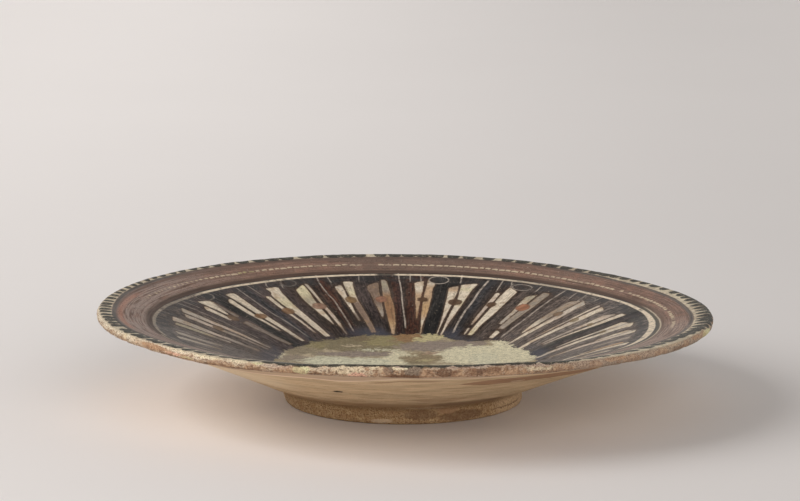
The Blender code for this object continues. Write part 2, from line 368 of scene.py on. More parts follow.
# Each strip: how far out its top reaches at its left and its right corner, and its edges
# inward from there as (radius, left, right, tone), in shares of the rim and degrees
STRIPS = (
    (.765, .765, ((.765, 200.71, 197.20, "silver"), (.688, 200.00, 196.59, "silver"),
                 (.615, 198.40, 195.64, "ghost"))),
    (.744, .754, ((.754, 193.33, 189.63, "silver"), (.658, 192.85, 189.44, "faint"),
                 (.598, 190.63, 187.31, "ghost"))),
    (.749, .749, ((.749, 181.20, 178.59, "olive"), (.640, 180.54, 177.88, "olive"),
                 (.610, 180.37, 178.13, "ghost"), (.570, 179.75, 177.73, "faint"))),
    (.759, .770, ((.770, 177.96, 173.55, "pink"), (.744, 177.37, 173.77, "silver"),
                 (.660, 177.04, 173.77, "silver"), (.620, 176.55, 174.19, "pink"),
                 (.561, 176.56, 173.47, "faint"), (.521, 175.88, 173.30, "ghost"),
                 (.482, 174.73, 171.91, "ghost"))),
    (.734, .749, ((.749, 170.08, 167.68, "silver"), (.660, 169.70, 167.42, "pink"),
                 (.601, 169.22, 167.16, "grey"), (.562, 168.31, 166.75, "faint"),
                 (.503, 167.41, 165.88, "ghost"), (.464, 166.80, 165.29, "ghost"))),
    (.756, .776, ((.776, 167.05, 163.84, "silver"), (.700, 166.41, 163.91, "silver"),
                 (.660, 166.13, 163.75, "pink"), (.621, 165.61, 163.44, "pink"),
                 (.572, 165.17, 163.21, "pink"), (.503, 164.43, 162.70, "faint"),
                 (.464, 163.86, 162.24, "ghost"))),
    (.725, .745, ((.745, 157.58, 155.17, "cream"), (.670, 156.82, 154.93, "cream"),
                 (.636, 156.58, 154.89, "pink"))),
    (.776, .756, ((.776, 154.61, 149.80, "cream"), (.754, 154.47, 149.96, "cream"),
                 (.729, 154.21, 151.01, "cream"), (.700, 153.83, 151.93, "cream"),
                 (.666, 153.71, 152.82, "cream"))),
    (.744, .744, ((.744, 151.04, 150.24, "ghost"), (.641, 152.13, 150.34, "ghost"))),
    (.607, .607, ((.607, 153.56, 150.78, "ghost"), (.563, 153.41, 150.36, "ghost"),
                 (.524, 152.07, 150.11, "ghost"), (.490, 151.89, 149.17, "ghost"),
                 (.468, 150.82, 148.49, "ghost"), (.446, 149.91, 147.82, "ghost"))),
    (.725, .746, ((.746, 145.75, 143.35, "cream"), (.700, 145.74, 143.74, "cream"),
                 (.641, 145.86, 143.97, "cream"), (.602, 145.41, 144.02, "cream"),
                 (.554, 144.88, 143.60, "cream"), (.520, 144.39, 143.41, "faint"))),
    (.772, .770, ((.772, 142.77, 139.56, "cream"), (.720, 142.68, 139.88, "cream"),
                 (.651, 142.70, 140.21, "cream"), (.593, 142.79, 140.31, "cream"),
                 (.525, 142.06, 139.90, "cream"), (.467, 141.28, 139.43, "silver"),
                 (.446, 140.98, 139.32, "cream"))),
    (.716, .716, ((.716, 132.17, 130.67, "cream"), (.651, 131.94, 130.64, "cream"),
                 (.603, 131.71, 130.62, "cream"), (.554, 131.15, 130.06, "cream"),
                 (.506, 130.55, 129.47, "pink"), (.472, 130.18, 129.20, "ghost"))),
    (.766, .766, ((.766, 129.13, 125.22, "cream"), (.737, 128.79, 125.69, "cream"),
                 (.716, 129.97, 126.06, "cream"), (.661, 129.77, 126.27, "yellow"),
                 (.603, 129.22, 126.14, "cream"), (.554, 128.58, 125.81, "cream"),
                 (.506, 128.19, 125.24, "cream"), (.473, 127.54, 124.80, "cream"),
                 (.446, 127.03, 124.56, "cream"))),
    (.732, .766, ((.766, 121.02, 117.76, "yellow"), (.730, 121.08, 117.77, "yellow"),
                 (.700, 121.44, 117.89, "yellow"), (.661, 121.58, 118.29, "olive"),
                 (.603, 120.77, 118.49, "cream"), (.574, 120.51, 118.33, "cream"),
                 (.545, 119.74, 118.25, "cream"), (.526, 119.19, 118.40, "cream"),
                 (.506, 118.73, 118.44, "cream"))),
    (.769, .769, ((.769, 117.25, 116.40, "silver"), (.642, 117.16, 116.36, "cream"),
                 (.603, 117.29, 116.10, "pink"), (.555, 117.19, 115.80, "pink"),
                 (.506, 116.96, 115.68, "cream"), (.481, 116.68, 115.90, "ghost"),
                 (.446, 116.61, 115.90, "ghost"))),
    (.733, .746, ((.746, 109.67, 107.42, "silver"), (.700, 109.54, 107.44, "cream"),
                 (.661, 109.05, 107.51, "cream"), (.613, 108.85, 107.46, "cream"),
                 (.565, 108.38, 107.59, "cream"), (.555, 108.27, 107.38, "ghost"),
                 (.516, 107.90, 107.01, "ghost"))),
    (.765, .765, ((.765, 106.58, 103.87, "cream"), (.740, 106.77, 104.26, "cream"),
                 (.681, 106.83, 104.73, "yellow"), (.657, 106.80, 104.81, "cream"),
                 (.623, 106.67, 104.58, "umber"), (.589, 106.43, 104.25, "umber"),
                 (.545, 105.98, 103.80, "umber"), (.487, 105.18, 103.02, "umber"),
                 (.448, 104.92, 102.67, "umber"), (.446, 104.73, 102.70, "umber"))),
    (.730, .756, ((.756, 100.56, 97.16, "umber"), (.701, 100.54, 97.54, "umber"),
                 (.662, 100.02, 97.53, "umber"), (.623, 99.80, 97.51, "umber"),
                 (.574, 99.16, 97.58, "grey"), (.555, 98.85, 97.66, "faint"),
                 (.526, 98.53, 98.13, "ghost"))),
    (.771, .771, ((.771, 96.36, 94.96, "grey"), (.735, 96.45, 94.75, "olive"),
                 (.701, 96.54, 94.44, "grey"), (.662, 96.73, 94.33, "rust"),
                 (.603, 96.70, 93.71, "rust"), (.541, 96.56, 93.59, "rust"),
                 (.526, 96.55, 93.78, "rust"), (.497, 96.33, 93.76, "ochre"),
                 (.459, 96.00, 94.33, "tan"), (.428, 95.96, 94.46, "tan"))),
    (.752, .766, ((.766, 87.60, 84.99, "cream"), (.701, 87.14, 85.00, "cream"),
                 (.676, 86.95, 85.15, "tan"), (.652, 86.85, 85.25, "tan"),
                 (.623, 86.65, 85.25, "tan"), (.584, 86.35, 85.36, "tan"),
                 (.555, 86.16, 85.37, "rust"), (.521, 85.87, 85.47, "rust"))),
    (.776, .742, ((.776, 84.04, 82.84, "umber"), (.745, 84.04, 81.54, "cream"),
                 (.725, 84.14, 82.14, "tan"), (.701, 84.25, 82.25, "tan"),
                 (.662, 84.35, 81.96, "tan"), (.603, 84.26, 81.97, "ochre"),
                 (.555, 84.18, 82.10, "ochre"), (.536, 84.08, 82.30, "tan"),
                 (.507, 83.90, 82.81, "cream"), (.467, 83.43, 82.94, "tan"),
                 (.428, 83.32, 82.88, "tan"))),
    (.725, .742, ((.742, 77.84, 75.23, "grey"), (.711, 77.75, 75.05, "tan"),
                 (.691, 77.55, 74.96, "cream"), (.642, 77.18, 74.98, "cream"),
                 (.604, 76.90, 74.81, "cream"), (.565, 76.44, 75.05, "cream"),
                 (.526, 76.28, 75.24, "pink"), (.482, 75.94, 75.45, "cream"),
                 (.428, 75.88, 75.43, "cream"))),
    (.748, .767, ((.767, 74.83, 70.42, "cream"), (.740, 74.63, 70.83, "cream"),
                 (.720, 74.54, 71.04, "yellow"), (.701, 74.35, 71.25, "cream"),
                 (.662, 73.97, 71.38, "cream"), (.623, 73.80, 71.51, "yellow"),
                 (.604, 73.82, 71.63, "cream"), (.555, 73.97, 72.04, "cream"),
                 (.507, 74.03, 72.65, "pink"), (.471, 73.99, 73.01, "cream"),
                 (.428, 74.04, 73.16, "cream"))),
    (.716, .716, ((.716, 63.74, 62.44, "cream"), (.662, 63.90, 62.40, "pink"),
                 (.604, 63.88, 62.68, "pink"), (.555, 63.96, 62.68, "pink"),
                 (.526, 63.83, 62.84, "pink"), (.504, 63.69, 63.00, "ghost"))),
    (.486, .486, ((.486, 63.84, 62.95, "silver"), (.470, 63.79, 62.91, "cream"),
                 (.446, 63.67, 62.88, "cream"))),
    (.762, .737, ((.762, 61.41, 58.11, "cream"), (.720, 61.64, 58.19, "cream"),
                 (.662, 61.80, 58.31, "cream"), (.623, 61.46, 58.32, "cream"),
                 (.574, 61.55, 58.57, "cream"), (.536, 61.63, 59.16, "cream"),
                 (.507, 61.71, 59.54, "cream"), (.465, 61.84, 59.49, "yellow"),
                 (.446, 61.74, 59.63, "yellow"))),
    (.714, .736, ((.736, 54.32, 51.67, "olive"), (.691, 54.08, 51.68, "olive"),
                 (.662, 53.92, 51.73, "cream"), (.613, 53.22, 51.73, "silver"),
                 (.565, 53.25, 51.76, "silver"), (.531, 53.25, 51.87, "silver"))),
    (.757, .757, ((.757, 50.80, 48.40, "grey"), (.701, 50.92, 48.37, "grey"),
                 (.662, 50.93, 48.24, "grey"), (.603, 51.16, 48.38, "grey"),
                 (.545, 51.33, 48.66, "grey"), (.507, 51.28, 48.82, "faint"))),
    (.494, .487, ((.494, 51.14, 48.68, "cream"), (.463, 50.90, 48.55, "cream"),
                 (.446, 50.67, 48.57, "cream"))),
    (.728, .755, ((.755, 39.99, 36.98, "faint"), (.701, 40.08, 36.98, "grey"),
                 (.642, 40.12, 37.13, "grey"), (.613, 40.11, 37.33, "grey"),
                 (.564, 39.99, 37.62, "cream"), (.545, 39.69, 37.81, "cream"),
                 (.526, 39.49, 38.21, "cream"), (.506, 39.21, 38.42, "cream"))),
    (.698, .693, ((.698, 38.28, 36.99, "silver"), (.657, 38.08, 37.09, "silver"))),
    (.757, .735, ((.757, 36.48, 33.68, "silver"), (.720, 36.34, 33.74, "silver"),
                 (.681, 36.32, 34.03, "pale"), (.652, 36.40, 33.71, "pale"),
                 (.623, 36.30, 33.81, "pink"), (.584, 36.35, 34.37, "cream"),
                 (.545, 36.83, 34.86, "cream"), (.506, 37.54, 35.39, "cream"),
                 (.463, 37.65, 36.39, "cream"), (.428, 37.81, 36.67, "cream"))),
    (.755, .755, ((.755, 29.67, 28.47, "pale"), (.701, 29.49, 28.49, "cream"),
                 (.657, 29.62, 28.52, "cream"), (.622, 29.54, 28.65, "faint"),
                 (.564, 29.83, 28.94, "pale"), (.506, 30.50, 29.43, "ghost"))),
    (.750, .736, ((.750, 27.48, 24.77, "cream"), (.701, 27.49, 24.99, "cream"),
                 (.662, 27.71, 24.92, "cream"), (.603, 27.55, 25.17, "pale"),
                 (.564, 27.86, 25.79, "cream"), (.506, 28.55, 26.70, "cream"),
                 (.476, 29.09, 27.25, "cream"), (.452, 28.81, 26.30, "cream"),
                 (.428, 28.39, 26.13, "cream"))),
    (.714, .747, ((.747, 21.27, 17.97, "grey"), (.701, 21.19, 18.00, "pink"),
                 (.661, 20.93, 18.35, "cream"), (.622, 20.82, 19.33, "pink"),
                 (.563, 21.07, 19.79, "faint"), (.505, 21.83, 20.38, "faint"),
                 (.485, 21.93, 20.67, "ghost"))),
    (.757, .760, ((.760, 17.23, 14.83, "cream"), (.701, 17.20, 15.00, "cream"),
                 (.661, 17.45, 15.36, "cream"), (.622, 17.55, 16.06, "cream"),
                 (.602, 17.76, 16.48, "cream"), (.563, 18.42, 17.24, "cream"),
                 (.524, 19.42, 18.06, "faint"), (.485, 20.19, 18.84, "faint"))),
    (.727, .737, ((.737, 9.68, 7.17, "cream"), (.681, 9.30, 7.40, "cream"),
                 (.641, 9.31, 7.72, "silver"), (.602, 9.18, 7.71, "cream"),
                 (.543, 9.71, 8.16, "pale"), (.503, 9.97, 8.53, "ghost"))),
    (.735, .745, ((.745, 7.15, 5.44, "silver"), (.661, 7.51, 5.82, "faint"))),
    (.755, .742, ((.755, 5.81, 1.60, "cream"), (.735, 5.77, 2.07, "cream"),
                 (.720, 5.73, 2.83, "cream"), (.701, 5.61, 3.32, "cream"),
                 (.621, 5.88, 3.62, "cream"), (.562, 6.50, 4.07, "cream"),
                 (.503, 7.20, 4.54, "pink"), (.468, 7.43, 4.63, "silver"),
                 (.448, 6.31, 3.88, "silver"), (.428, 5.74, 3.55, "cream"))),
    (.722, .745, ((.745, -1.08, -3.49, "silver"), (.681, -0.86, -3.05, "cream"),
                 (.656, -0.89, -3.07, "pale"), (.621, -0.90, -2.77, "faint"))),
    (.752, .747, ((.752, -3.82, -6.73, "cream"), (.700, -3.67, -6.36, "pale"),
                 (.640, -3.14, -5.70, "pink"), (.580, -2.15, -4.85, "pink"),
                 (.520, -1.61, -4.05, "faint"), (.470, -1.17, -2.98, "ghost"))),
    (.741, .741, ((.741, -11.20, -14.21, "faint"), (.619, -10.17, -13.06, "ghost"))),
)

# The same pairs go on around the near wall
unseen = np.random.default_rng(11)
HIDDEN_STRIPS = []
HIDDEN_SPOTS = []
panel_azimuth = -20.0
while panel_azimuth > -153:
    middle = panel_azimuth + unseen.uniform(-0.6, 0.6)
    short_top = unseen.uniform(.715, .735)
    tall_top = unseen.uniform(.755, .770)
    drift = unseen.uniform(-0.3, 0.3)
    short_tone, tall_tone = unseen.choice(["cream", "cream", "tan", "pink", "yellow", "grey"], 2)
    short_end = unseen.uniform(.48, .60)
    HIDDEN_STRIPS.append((short_top, short_top + .018, (
        (short_top + .018, middle + 3.0, middle + 0.45, short_tone),
        (.64, middle + 2.7 + drift, middle + 0.4, short_tone),
        (short_end, middle + 1.7 + drift, middle + 0.5, "cream"))))
    HIDDEN_STRIPS.append((tall_top, tall_top, (
        (tall_top, middle - 0.4, middle - 3.9, tall_tone),
        (.64, middle - 0.45, middle - 3.0 + drift, tall_tone),
        (.47, middle - 0.5, middle - 2.1 + drift, "cream"))))
    HIDDEN_SPOTS.append((middle, unseen.uniform(.63, .645), unseen.uniform(1.6, 2.2),
                         unseen.uniform(.016, .021), "umber"))
    panel_azimuth -= 10.6 if len(HIDDEN_SPOTS) % 2 else 12.7

SPOT_TONES = {
    "umber": slip(112, 90, 70, 0.9),
    "brown": slip(124, 92, 64, 0.95),
    "russet": slip(136, 104, 86, 0.9),
    "honey": slip(122, 95, 64, 0.95),
    "salmon": slip(138, 98, 78, 0.9),
    "dark": slip(80, 58, 42),
    "orange": slip(146, 98, 72),
    "moss": slip(122, 105, 76, 0.85),
}
# Each spot: azimuth, radius, half width in degrees, half height in shares of the rim, tone
SPOTS = (
    (167.6, .633, 2.4, .019, "umber"), (153.7, .643, 2.0, .022, "umber"),
    (142.8, .614, 2.6, .018, "brown"), (130.4, .614, 2.3, .021, "brown"),
    (118.4, .621, 2.6, .021, "russet"), (106.9, .645, 1.9, .022, "honey"),
    (97.4, .643, 2.0, .021, "salmon"), (84.5, .642, 1.9, .016, "dark"),
    (74.1, .634, 2.4, .021, "dark"), (62.3, .638, 1.7, .018, "dark"),
    (51.4, .646, 2.4, .024, "orange"), (36.7, .646, 1.9, .018, "umber"),
    (27.3, .640, 1.5, .017, "moss"), (18.5, .650, 1.6, .011, "moss"),
    (6.6, .655, 1.5, .012, "moss"),
)

# Each scratched line: its points as (radius, azimuth), its width in millimetres and depth
SCRATCHES = (
    (((.799, 161.4), (.739, 160.8), (.661, 160.4), (.563, 159.7), (.523, 159.5)), 1.0, 0.35),
    (((.803, 136.7), (.739, 137.1), (.661, 137.2), (.603, 137.0), (.554, 136.1),
      (.467, 135.3)), 1.2, 0.42),
    (((.823, 112.4), (.769, 113.0), (.720, 113.0), (.681, 112.8), (.652, 112.2), (.603, 112.3),
      (.555, 112.3), (.506, 112.3), (.468, 112.4)), 1.0, 0.55),
    (((.818, 91.7), (.759, 91.5), (.740, 91.3), (.701, 91.1), (.623, 90.9), (.584, 90.7),
      (.545, 90.4), (.507, 90.0), (.478, 89.9)), 0.9, 0.72),
    (((.786, 68.4), (.740, 68.7), (.701, 68.9), (.662, 68.8), (.623, 68.9), (.584, 69.2),
      (.507, 69.2), (.459, 68.9)), 1.3, 0.78),
    (((.789, 46.0), (.701, 46.1), (.662, 46.0), (.623, 45.7), (.603, 45.5), (.565, 45.4),
      (.526, 45.4), (.468, 45.4)), 1.3, 0.6),
    (((.808, 158.4), (.749, 158.1)), 1.0, 0.35),
    (((.818, 156.2), (.789, 155.9)), 1.0, 0.35),
    (((.798, 132.9), (.739, 132.6)), 1.0, 0.35),
    (((.808, 126.9), (.779, 128.0)), 0.9, 0.6),
    (((.808, 122.5), (.759, 124.0)), 0.9, 0.5),
    (((.818, 109.9), (.769, 109.8)), 0.9, 0.55),
    (((.808, 101.6), (.769, 102.2)), 0.8, 0.35),
    (((.809, 88.7), (.769, 88.7)), 0.8, 0.6),
    (((.809, 86.2), (.769, 85.8)), 0.8, 0.65),
    (((.814, 75.8), (.769, 75.3)), 1.0, 0.85),
    (((.799, 64.7), (.725, 64.1)), 0.9, 0.62),
    (((.799, 62.2), (.769, 61.3)), 0.9, 0.6),
    (((.789, 53.5), (.760, 53.3)), 0.9, 0.55),
    (((.789, 42.2), (.740, 41.3)), 0.9, 0.5),
    (((.799, 38.8), (.750, 38.1)), 0.9, 0.5),
    (((.789, 33.4), (.770, 33.3)), 1.0, 0.45),
    (((.789, 29.3), (.760, 29.2)), 0.9, 0.4),
    (((.800, -26.0), (.470, -27.0)), 1.0, 0.45),
    (((.800, -50.0), (.470, -49.5)), 1.0, 0.55),
    (((.800, -73.0), (.470, -73.5)), 1.0, 0.5),
    (((.800, -96.5), (.470, -96.0)), 1.0, 0.55),
    (((.800, -120.0), (.470, -120.5)), 1.0, 0.5),
    (((.800, -143.0), (.470, -142.5)), 1.0, 0.45),
)
# Each scratched loop: azimuth, radius, half width in degrees, half height, width and depth
LOOPS = (
    (149.5, .788, 2.9, .025, 1.1, .32),
    (121.4, .784, 2.3, .022, 1.0, .16),
    (81.2, .775, 2.6, .026, 0.9, 0.62),
    (58.1, .770, 2.8, .021, 0.8, 0.5),
    (35.9, .772, 2.3, .018, 0.8, 0.25),
    (-37.0, .785, 2.5, .022, 0.9, 0.4),
    (-84.5, .785, 2.5, .022, 0.9, 0.4),
    (-131.5, .785, 2.5, .022, 0.9, 0.4),
)

radius_share = np.hypot(clay[..., 0], clay[..., 1]) / RIM_RADIUS
bearing = np.degrees(np.arctan2(clay[..., 1], clay[..., 0]))
bearing = np.where(bearing < -158, bearing + 360, bearing)
mm_per_degree = radius_share * RIM_RADIUS * math.pi / 180 / mm
share_to_mm = RIM_RADIUS / mm
wall_side = upper & (radius_share > 0.40)

# How far inside a strip each point lies, in millimetres, and the tone of the nearest strip
strip_depth = np.full((rings, AROUND), -9.0)
strip_tone = np.zeros((rings, AROUND, 4))
strip_tone[:] = CREAM_TONES["cream"]
for top_left, top_right, edges in list(STRIPS) + HIDDEN_STRIPS:
    edge_radius = [edge[0] for edge in edges][::-1]
    left = np.interp(radius_share, edge_radius, [edge[1] for edge in edges][::-1])
    right = np.interp(radius_share, edge_radius, [edge[2] for edge in edges][::-1])
    across = np.clip((left - bearing) / (left - right), 0, 1)
    top_edge = top_left + (top_right - top_left) * across
    depth = np.minimum((left - bearing) * mm_per_degree, (bearing - right) * mm_per_degree)
    depth = np.minimum(depth, (top_edge - radius_share) * share_to_mm)
    depth = np.minimum(depth, (radius_share - edges[-1][0]) * share_to_mm)
    nearest = depth > strip_depth
    strip_depth = np.where(nearest, depth, strip_depth)
    tones = np.array([CREAM_TONES[edge[3]] for edge in edges][::-1])
    tone = np.stack([np.interp(radius_share, edge_radius, tones[:, part]) for part in range(4)],
                    axis=-1)
    strip_tone = np.where(nearest[..., None], tone, strip_tone)
strip_depth = np.where(wall_side, strip_depth, -9.0)

spot_depth = np.full((rings, AROUND), -9.0)
spot_tone = np.zeros((rings, AROUND, 4))
spot_tone[:] = SPOT_TONES["umber"]
for middle, radius, half_width, half_height, tone in list(SPOTS) + HIDDEN_SPOTS:
    sideways = (bearing - middle) / half_width
    outward_part = (radius_share - radius) / half_height
    depth = (1 - np.sqrt(sideways ** 2 + outward_part ** 2)) * half_height * share_to_mm
    nearest = depth > spot_depth
    spot_depth = np.where(nearest, depth, spot_depth)
    spot_tone = np.where(nearest[..., None], SPOT_TONES[tone], spot_tone)
spot_depth = np.where(wall_side, spot_depth, -9.0)

# The offset from the nearest scratch, its width, and how strongly it shows
scratch_offset = np.full((rings, AROUND), 9.0)
scratch_width = np.ones((rings, AROUND))
scratch_depth = np.zeros((rings, AROUND))
for points, width, strength in SCRATCHES:
    point_radius = [point[0] for point in points][::-1]
    path = np.interp(radius_share, point_radius, [point[1] for point in points][::-1])
    offset = (bearing - path) * mm_per_degree
    beyond = np.maximum(radius_share - points[0][0], points[-1][0] - radius_share) * share_to_mm
    nearest = (np.abs(offset) < np.abs(scratch_offset)) & (beyond < 2.5)
    scratch_offset = np.where(nearest, offset, scratch_offset)
    scratch_width = np.where(nearest, width, scratch_width)
    scratch_depth = np.where(nearest, strength * (1 - smooth(0, 2.5, beyond)), scratch_depth)
for middle, radius, half_width, half_height, width, strength in LOOPS:
    sideways = (bearing - middle) / half_width
    outward_part = (radius_share - radius) / half_height
    reach = np.maximum(np.sqrt(sideways ** 2 + outward_part ** 2), 0.05)
    side_mm = half_width * mm_per_degree
    slope = np.sqrt((sideways / side_mm) ** 2 + (outward_part / (half_height * share_to_mm)) ** 2)
    offset = (reach - 1) * reach / np.maximum(slope, 1e-6)
    nearest = np.abs(offset) < np.abs(scratch_offset)
    scratch_offset = np.where(nearest, offset, scratch_offset)
    scratch_width = np.where(nearest, width, scratch_width)
    scratch_depth = np.where(nearest, strength, scratch_depth)
scratch_offset = np.clip(np.where(wall_side, scratch_offset, 9.0), -4, 4)

# The dark slip's tone around the dish: thin and worn brown at the left and the right, dense
# black beside some strips, reddish where it was overfired
DARK_TONES = {
    "worn": slip(112, 102, 95), "dusty": slip(93, 81, 74), "plum": slip(76, 64, 61),
    "umber": slip(67, 54, 47), "black": slip(49, 46, 44), "moss": slip(58, 55, 49),
    "blue": slip(58, 57, 60), "rust": slip(86, 53, 40), "wine": slip(74, 49, 45),
}
DARK_SLIP = (
    (202, "worn"), (186, "worn"), (183, "dusty"), (173, "dusty"), (163, "dusty"), (159, "plum"),
    (150.5, "plum"), (149.5, "black"), (146.6, "black"), (138.6, "plum"), (135, "blue"),
    (133, "plum"), (125, "plum"), (122, "umber"), (115, "umber"), (112, "rust"),
    (110, "umber"), (103, "plum"), (101, "plum"), (94.0, "umber"), (93.6, "rust"),
    (92, "wine"), (90.4, "umber"), (89, "rust"), (87.6, "rust"), (85, "rust"), (82.2, "umber"),
    (81.8, "black"), (78, "black"), (76.5, "black"), (74.6, "umber"), (70, "umber"),
    (67.5, "blue"), (65, "umber"), (58, "umber"), (56, "dusty"), (52, "umber"), (47.5, "umber"),
    (43, "dusty"), (40, "dusty"), (37, "dusty"), (35, "worn"), (32, "dusty"), (24, "worn"),
    (20, "worn"), (15.2, "moss"), (14, "black"), (11, "plum"), (9.8, "moss"), (2, "worn"),
    (-1, "dusty"), (-4, "worn"), (-7.5, "worn"), (-20, "worn"), (-40, "dusty"), (-70, "plum"),
    (-110, "umber"), (-140, "dusty"), (-158, "worn"),
)
slip_bearing = [entry[0] for entry in DARK_SLIP][::-1]
slip_tones = np.array([DARK_TONES[entry[1]] for entry in DARK_SLIP][::-1])
wander = bearing + 0.5 * cloud(clay, 9 * mm, 21)
dark_tone = np.stack([np.interp(wander, slip_bearing, slip_tones[:, part])
                      for part in range(4)], axis=-1)

# The dabs along the rim: brushed black ovals at the back, slanting at the left, long teeth at
# the right, and at the front a thin dark line along the lip's crest, partly dabs and partly
# painted shadow. Each row: azimuth and pitch in degrees, the inner and the outer end in
# millimetres from the lip's edge, share of the pitch, taper, slant and wear.
DAB_RULE = (
    (-158, 2.8, 11.8, 3.4, .86, .30, -1.0, -.1), (-140, 2.75, 11.8, 3.2, .88, .35, -1.0, -.1),
    (-133, 2.75, 12.0, 3.4, .90, .20, -.6, -.1), (-126, 3.0, 11.2, 3.8, .92, .10, 0, 0),
    # The rows from -110 to -66 run the dabs together into the front line, partly painted shadow
    (-116, 3.1, 10.6, 3.0, 1.0, 0, 0, 0), (-110, 3.1, 10.5, 1.8, 1.3, 0, 0, 0),
    (-100, 3.1, 10.5, 1.7, 1.3, 0, 0, 0), (-66, 3.1, 10.5, 1.7, 1.3, 0, 0, 0),
    (-56, 3.2, 10.5, 3.0, 1.1, 0, 0, .3), (-42, 4.2, 11.5, 5.0, .96, 0, 0, 0),
    (-34, 4.4, 13.0, 5.2, .94, 0, 0, -.2), (-26, 4.2, 13.0, 5.0, .92, .1, 0, -.2),
    (-20, 3.0, 12.0, 3.0, .86, .30, 0, -.1), (-12, 2.7, 11.5, 1.0, .84, .32, 0, -.1),
    (10, 2.65, 11.0, 0.6, .84, .34, 0, -.1), (18, 3.1, 8.9, 0.3, .84, .10, 0, 0),
    (34, 3.1, 8.9, 0.3, .88, 0, 0, 0), (45, 3.3, 10.2, 0.3, .92, 0, 0, 0),
    (120, 3.4, 9.6, 0.5, .92, 0, 0, 0), (135, 3.2, 7.6, 0.6, .80, 0, .6, 0),
    (150, 2.9, 7.0, 0.8, .66, -.1, .8, 0), (165, 2.75, 8.0, 1.4, .62, -.10, .6, 0),
    (178, 2.75, 9.2, 2.0, .76, .0, 0, 0), (188, 2.75, 10.4, 2.8, .82, .15, -.6, 0),
    (202.01, 2.8, 11.8, 3.4, .86, .30, -1.0, -.1),
)
# The azimuths of the dabs that stand out best
BACK_DABS = (115.6, 111.5, 108.8, 105.3, 102.4, 99.6, 95.2, 92.2, 89.2, 86.2, 83.3, 79.8, 76.5,
             72.2, 68.0, 64.7, 61.0, 57.6, 54.3, 50.6, 47.0, 44.1, 41.5, 38.7, 35.7, 32.6, 29.2,
             25.6, 21.4, 18.2)
rule_bearing = [entry[0] for entry in DAB_RULE]
rule_values = np.array([entry[1:] for entry in DAB_RULE])


def dab_rule(direction):
    """The dabs' sizes at a direction, between those given."""
    return [np.interp(direction, rule_bearing, rule_values[:, part]) for part in range(7)]


brush = np.random.default_rng(5)
dab_middles = list(BACK_DABS)
for direction, end, way in ((15.3, -157, -1), (118.8, 202, 1)):
    while (end - direction) * way > 0:
        dab_middles.append(direction + brush.uniform(-0.3, 0.3))
        direction += way * dab_rule(direction)[0]
dab_depth = np.full((rings, AROUND), -9.0)
for middle in dab_middles:
    pitch, inner, outer, share, taper, slant, wear = dab_rule(middle)
    half_width = pitch * share / 2 * brush.uniform(0.86, 1.1)
    half_length = (inner - outer) / 2 * brush.uniform(0.92, 1.05)
    lengthwise = (along / mm + (inner + outer) / 2) / half_length
    turned_bearing = (bearing - middle + 180) % 360 - 180 + slant * lengthwise * 0.5
    width_here = half_width * np.clip(1 + taper * lengthwise, 0.15, 2)
    reach = (np.abs(turned_bearing / width_here) ** 2.6 + np.abs(lengthwise) ** 2.6) ** (1 / 2.6)
    dab_depth = np.maximum(dab_depth, (1 - reach) * 2.6 - wear)
dab_depth = np.where(along < 2 * mm, dab_depth, -9.0)

# The lip's own tone around the dish: cream slip where it has held, tan where it has worn
LIP_TONES = {
    "ivory": slip(212, 197, 172), "cream": slip(206, 188, 164), "buff": slip(196, 176, 150),
    "fawn": slip(180, 160, 136), "tan": slip(166, 146, 124), "drab": slip(152, 132, 114),
    "grey": slip(142, 134, 120),
}
LIP_SLIP = (
    (-158, "ivory"), (-146, "ivory"), (-139, "cream"), (-128, "cream"), (-120, "fawn"),
    (-112, "fawn"), (-104, "fawn"), (-96, "fawn"), (-88, "tan"), (-80, "tan"), (-72, "tan"),
    (-60, "drab"), (-44, "drab"), (-34, "tan"), (-26, "drab"), (-16, "tan"), (-8, "drab"),
    (0, "grey"), (14, "tan"), (30, "buff"), (45, "cream"), (150, "cream"), (175, "cream"),
    (202.01, "ivory"),
)
lip_tones = np.array([LIP_TONES[entry[1]] for entry in LIP_SLIP])
lip_tone = np.stack([np.interp(bearing, [entry[0] for entry in LIP_SLIP], lip_tones[:, part])
                     for part in range(4)], axis=-1)

# Under the lip the slip's run ends in a pale line, and brown slip has run over it at the right:
# their distances from the lip's edge around the dish, in millimetres
SLIP_END = (
    (-158, 24), (-140, 31), (-121, 33), (-111, 27), (-108, 28), (-104.5, 33), (-100.5, 31),
    (-91, 19), (-77, 19.5), (-72, 15), (-62, 10), (-50, 8), (202, 8),
)
OVERRUN = (
    (-78, 42, 44), (-73, 31, 47), (-71, 27.5, 48), (-65, 26, 47), (-58, 20, 46), (-50, 18, 47),
    (-45, 26, 48), (-41, 44, 46),
)


def by_bearing(rows, part):
    """One number of the rows, between the bearings that they are given for."""
    return np.interp(bearing, [row[0] for row in rows], [row[part] for row in rows])




def record(name, values):
    """Keeps one painted quantity on the mesh, a number or a colour for each point."""
    kind = "FLOAT" if values.ndim == 2 else "FLOAT_COLOR"
    layer = plate_mesh.attributes.new(name, kind, "POINT")
    flat_values = np.concatenate([values[0, :1], values[1:-1].reshape((-1,) + values.shape[2:]),
                                  values[-1, :1]])
    layer.data.foreach_set("value" if kind == "FLOAT" else "color",
                           np.ascontiguousarray(flat_values, dtype=np.float32).ravel())


record("strip", strip_depth)
record("strip_tone", strip_tone)
record("spot", spot_depth)
record("spot_tone", spot_tone)
record("scratch", scratch_offset)
record("scratch_guard", np.minimum(np.abs(scratch_offset), 4))
record("scratch_width", scratch_width)
record("scratch_depth", scratch_depth)
record("dark_tone", dark_tone)
record("dab", dab_depth)
record("lip_tone", lip_tone)
record("slip_end", by_bearing(SLIP_END, 1))
record("overrun_top", by_bearing(OVERRUN, 1))
record("overrun_low", by_bearing(OVERRUN, 2))
record("chip", chipped)
record("along", along / mm)


# The finish: slips under a thin clear glaze that has dulled, with pinholes, fine cracks and
# wear. Bare buff clay shows at the chips and on the underside, which was only wiped.

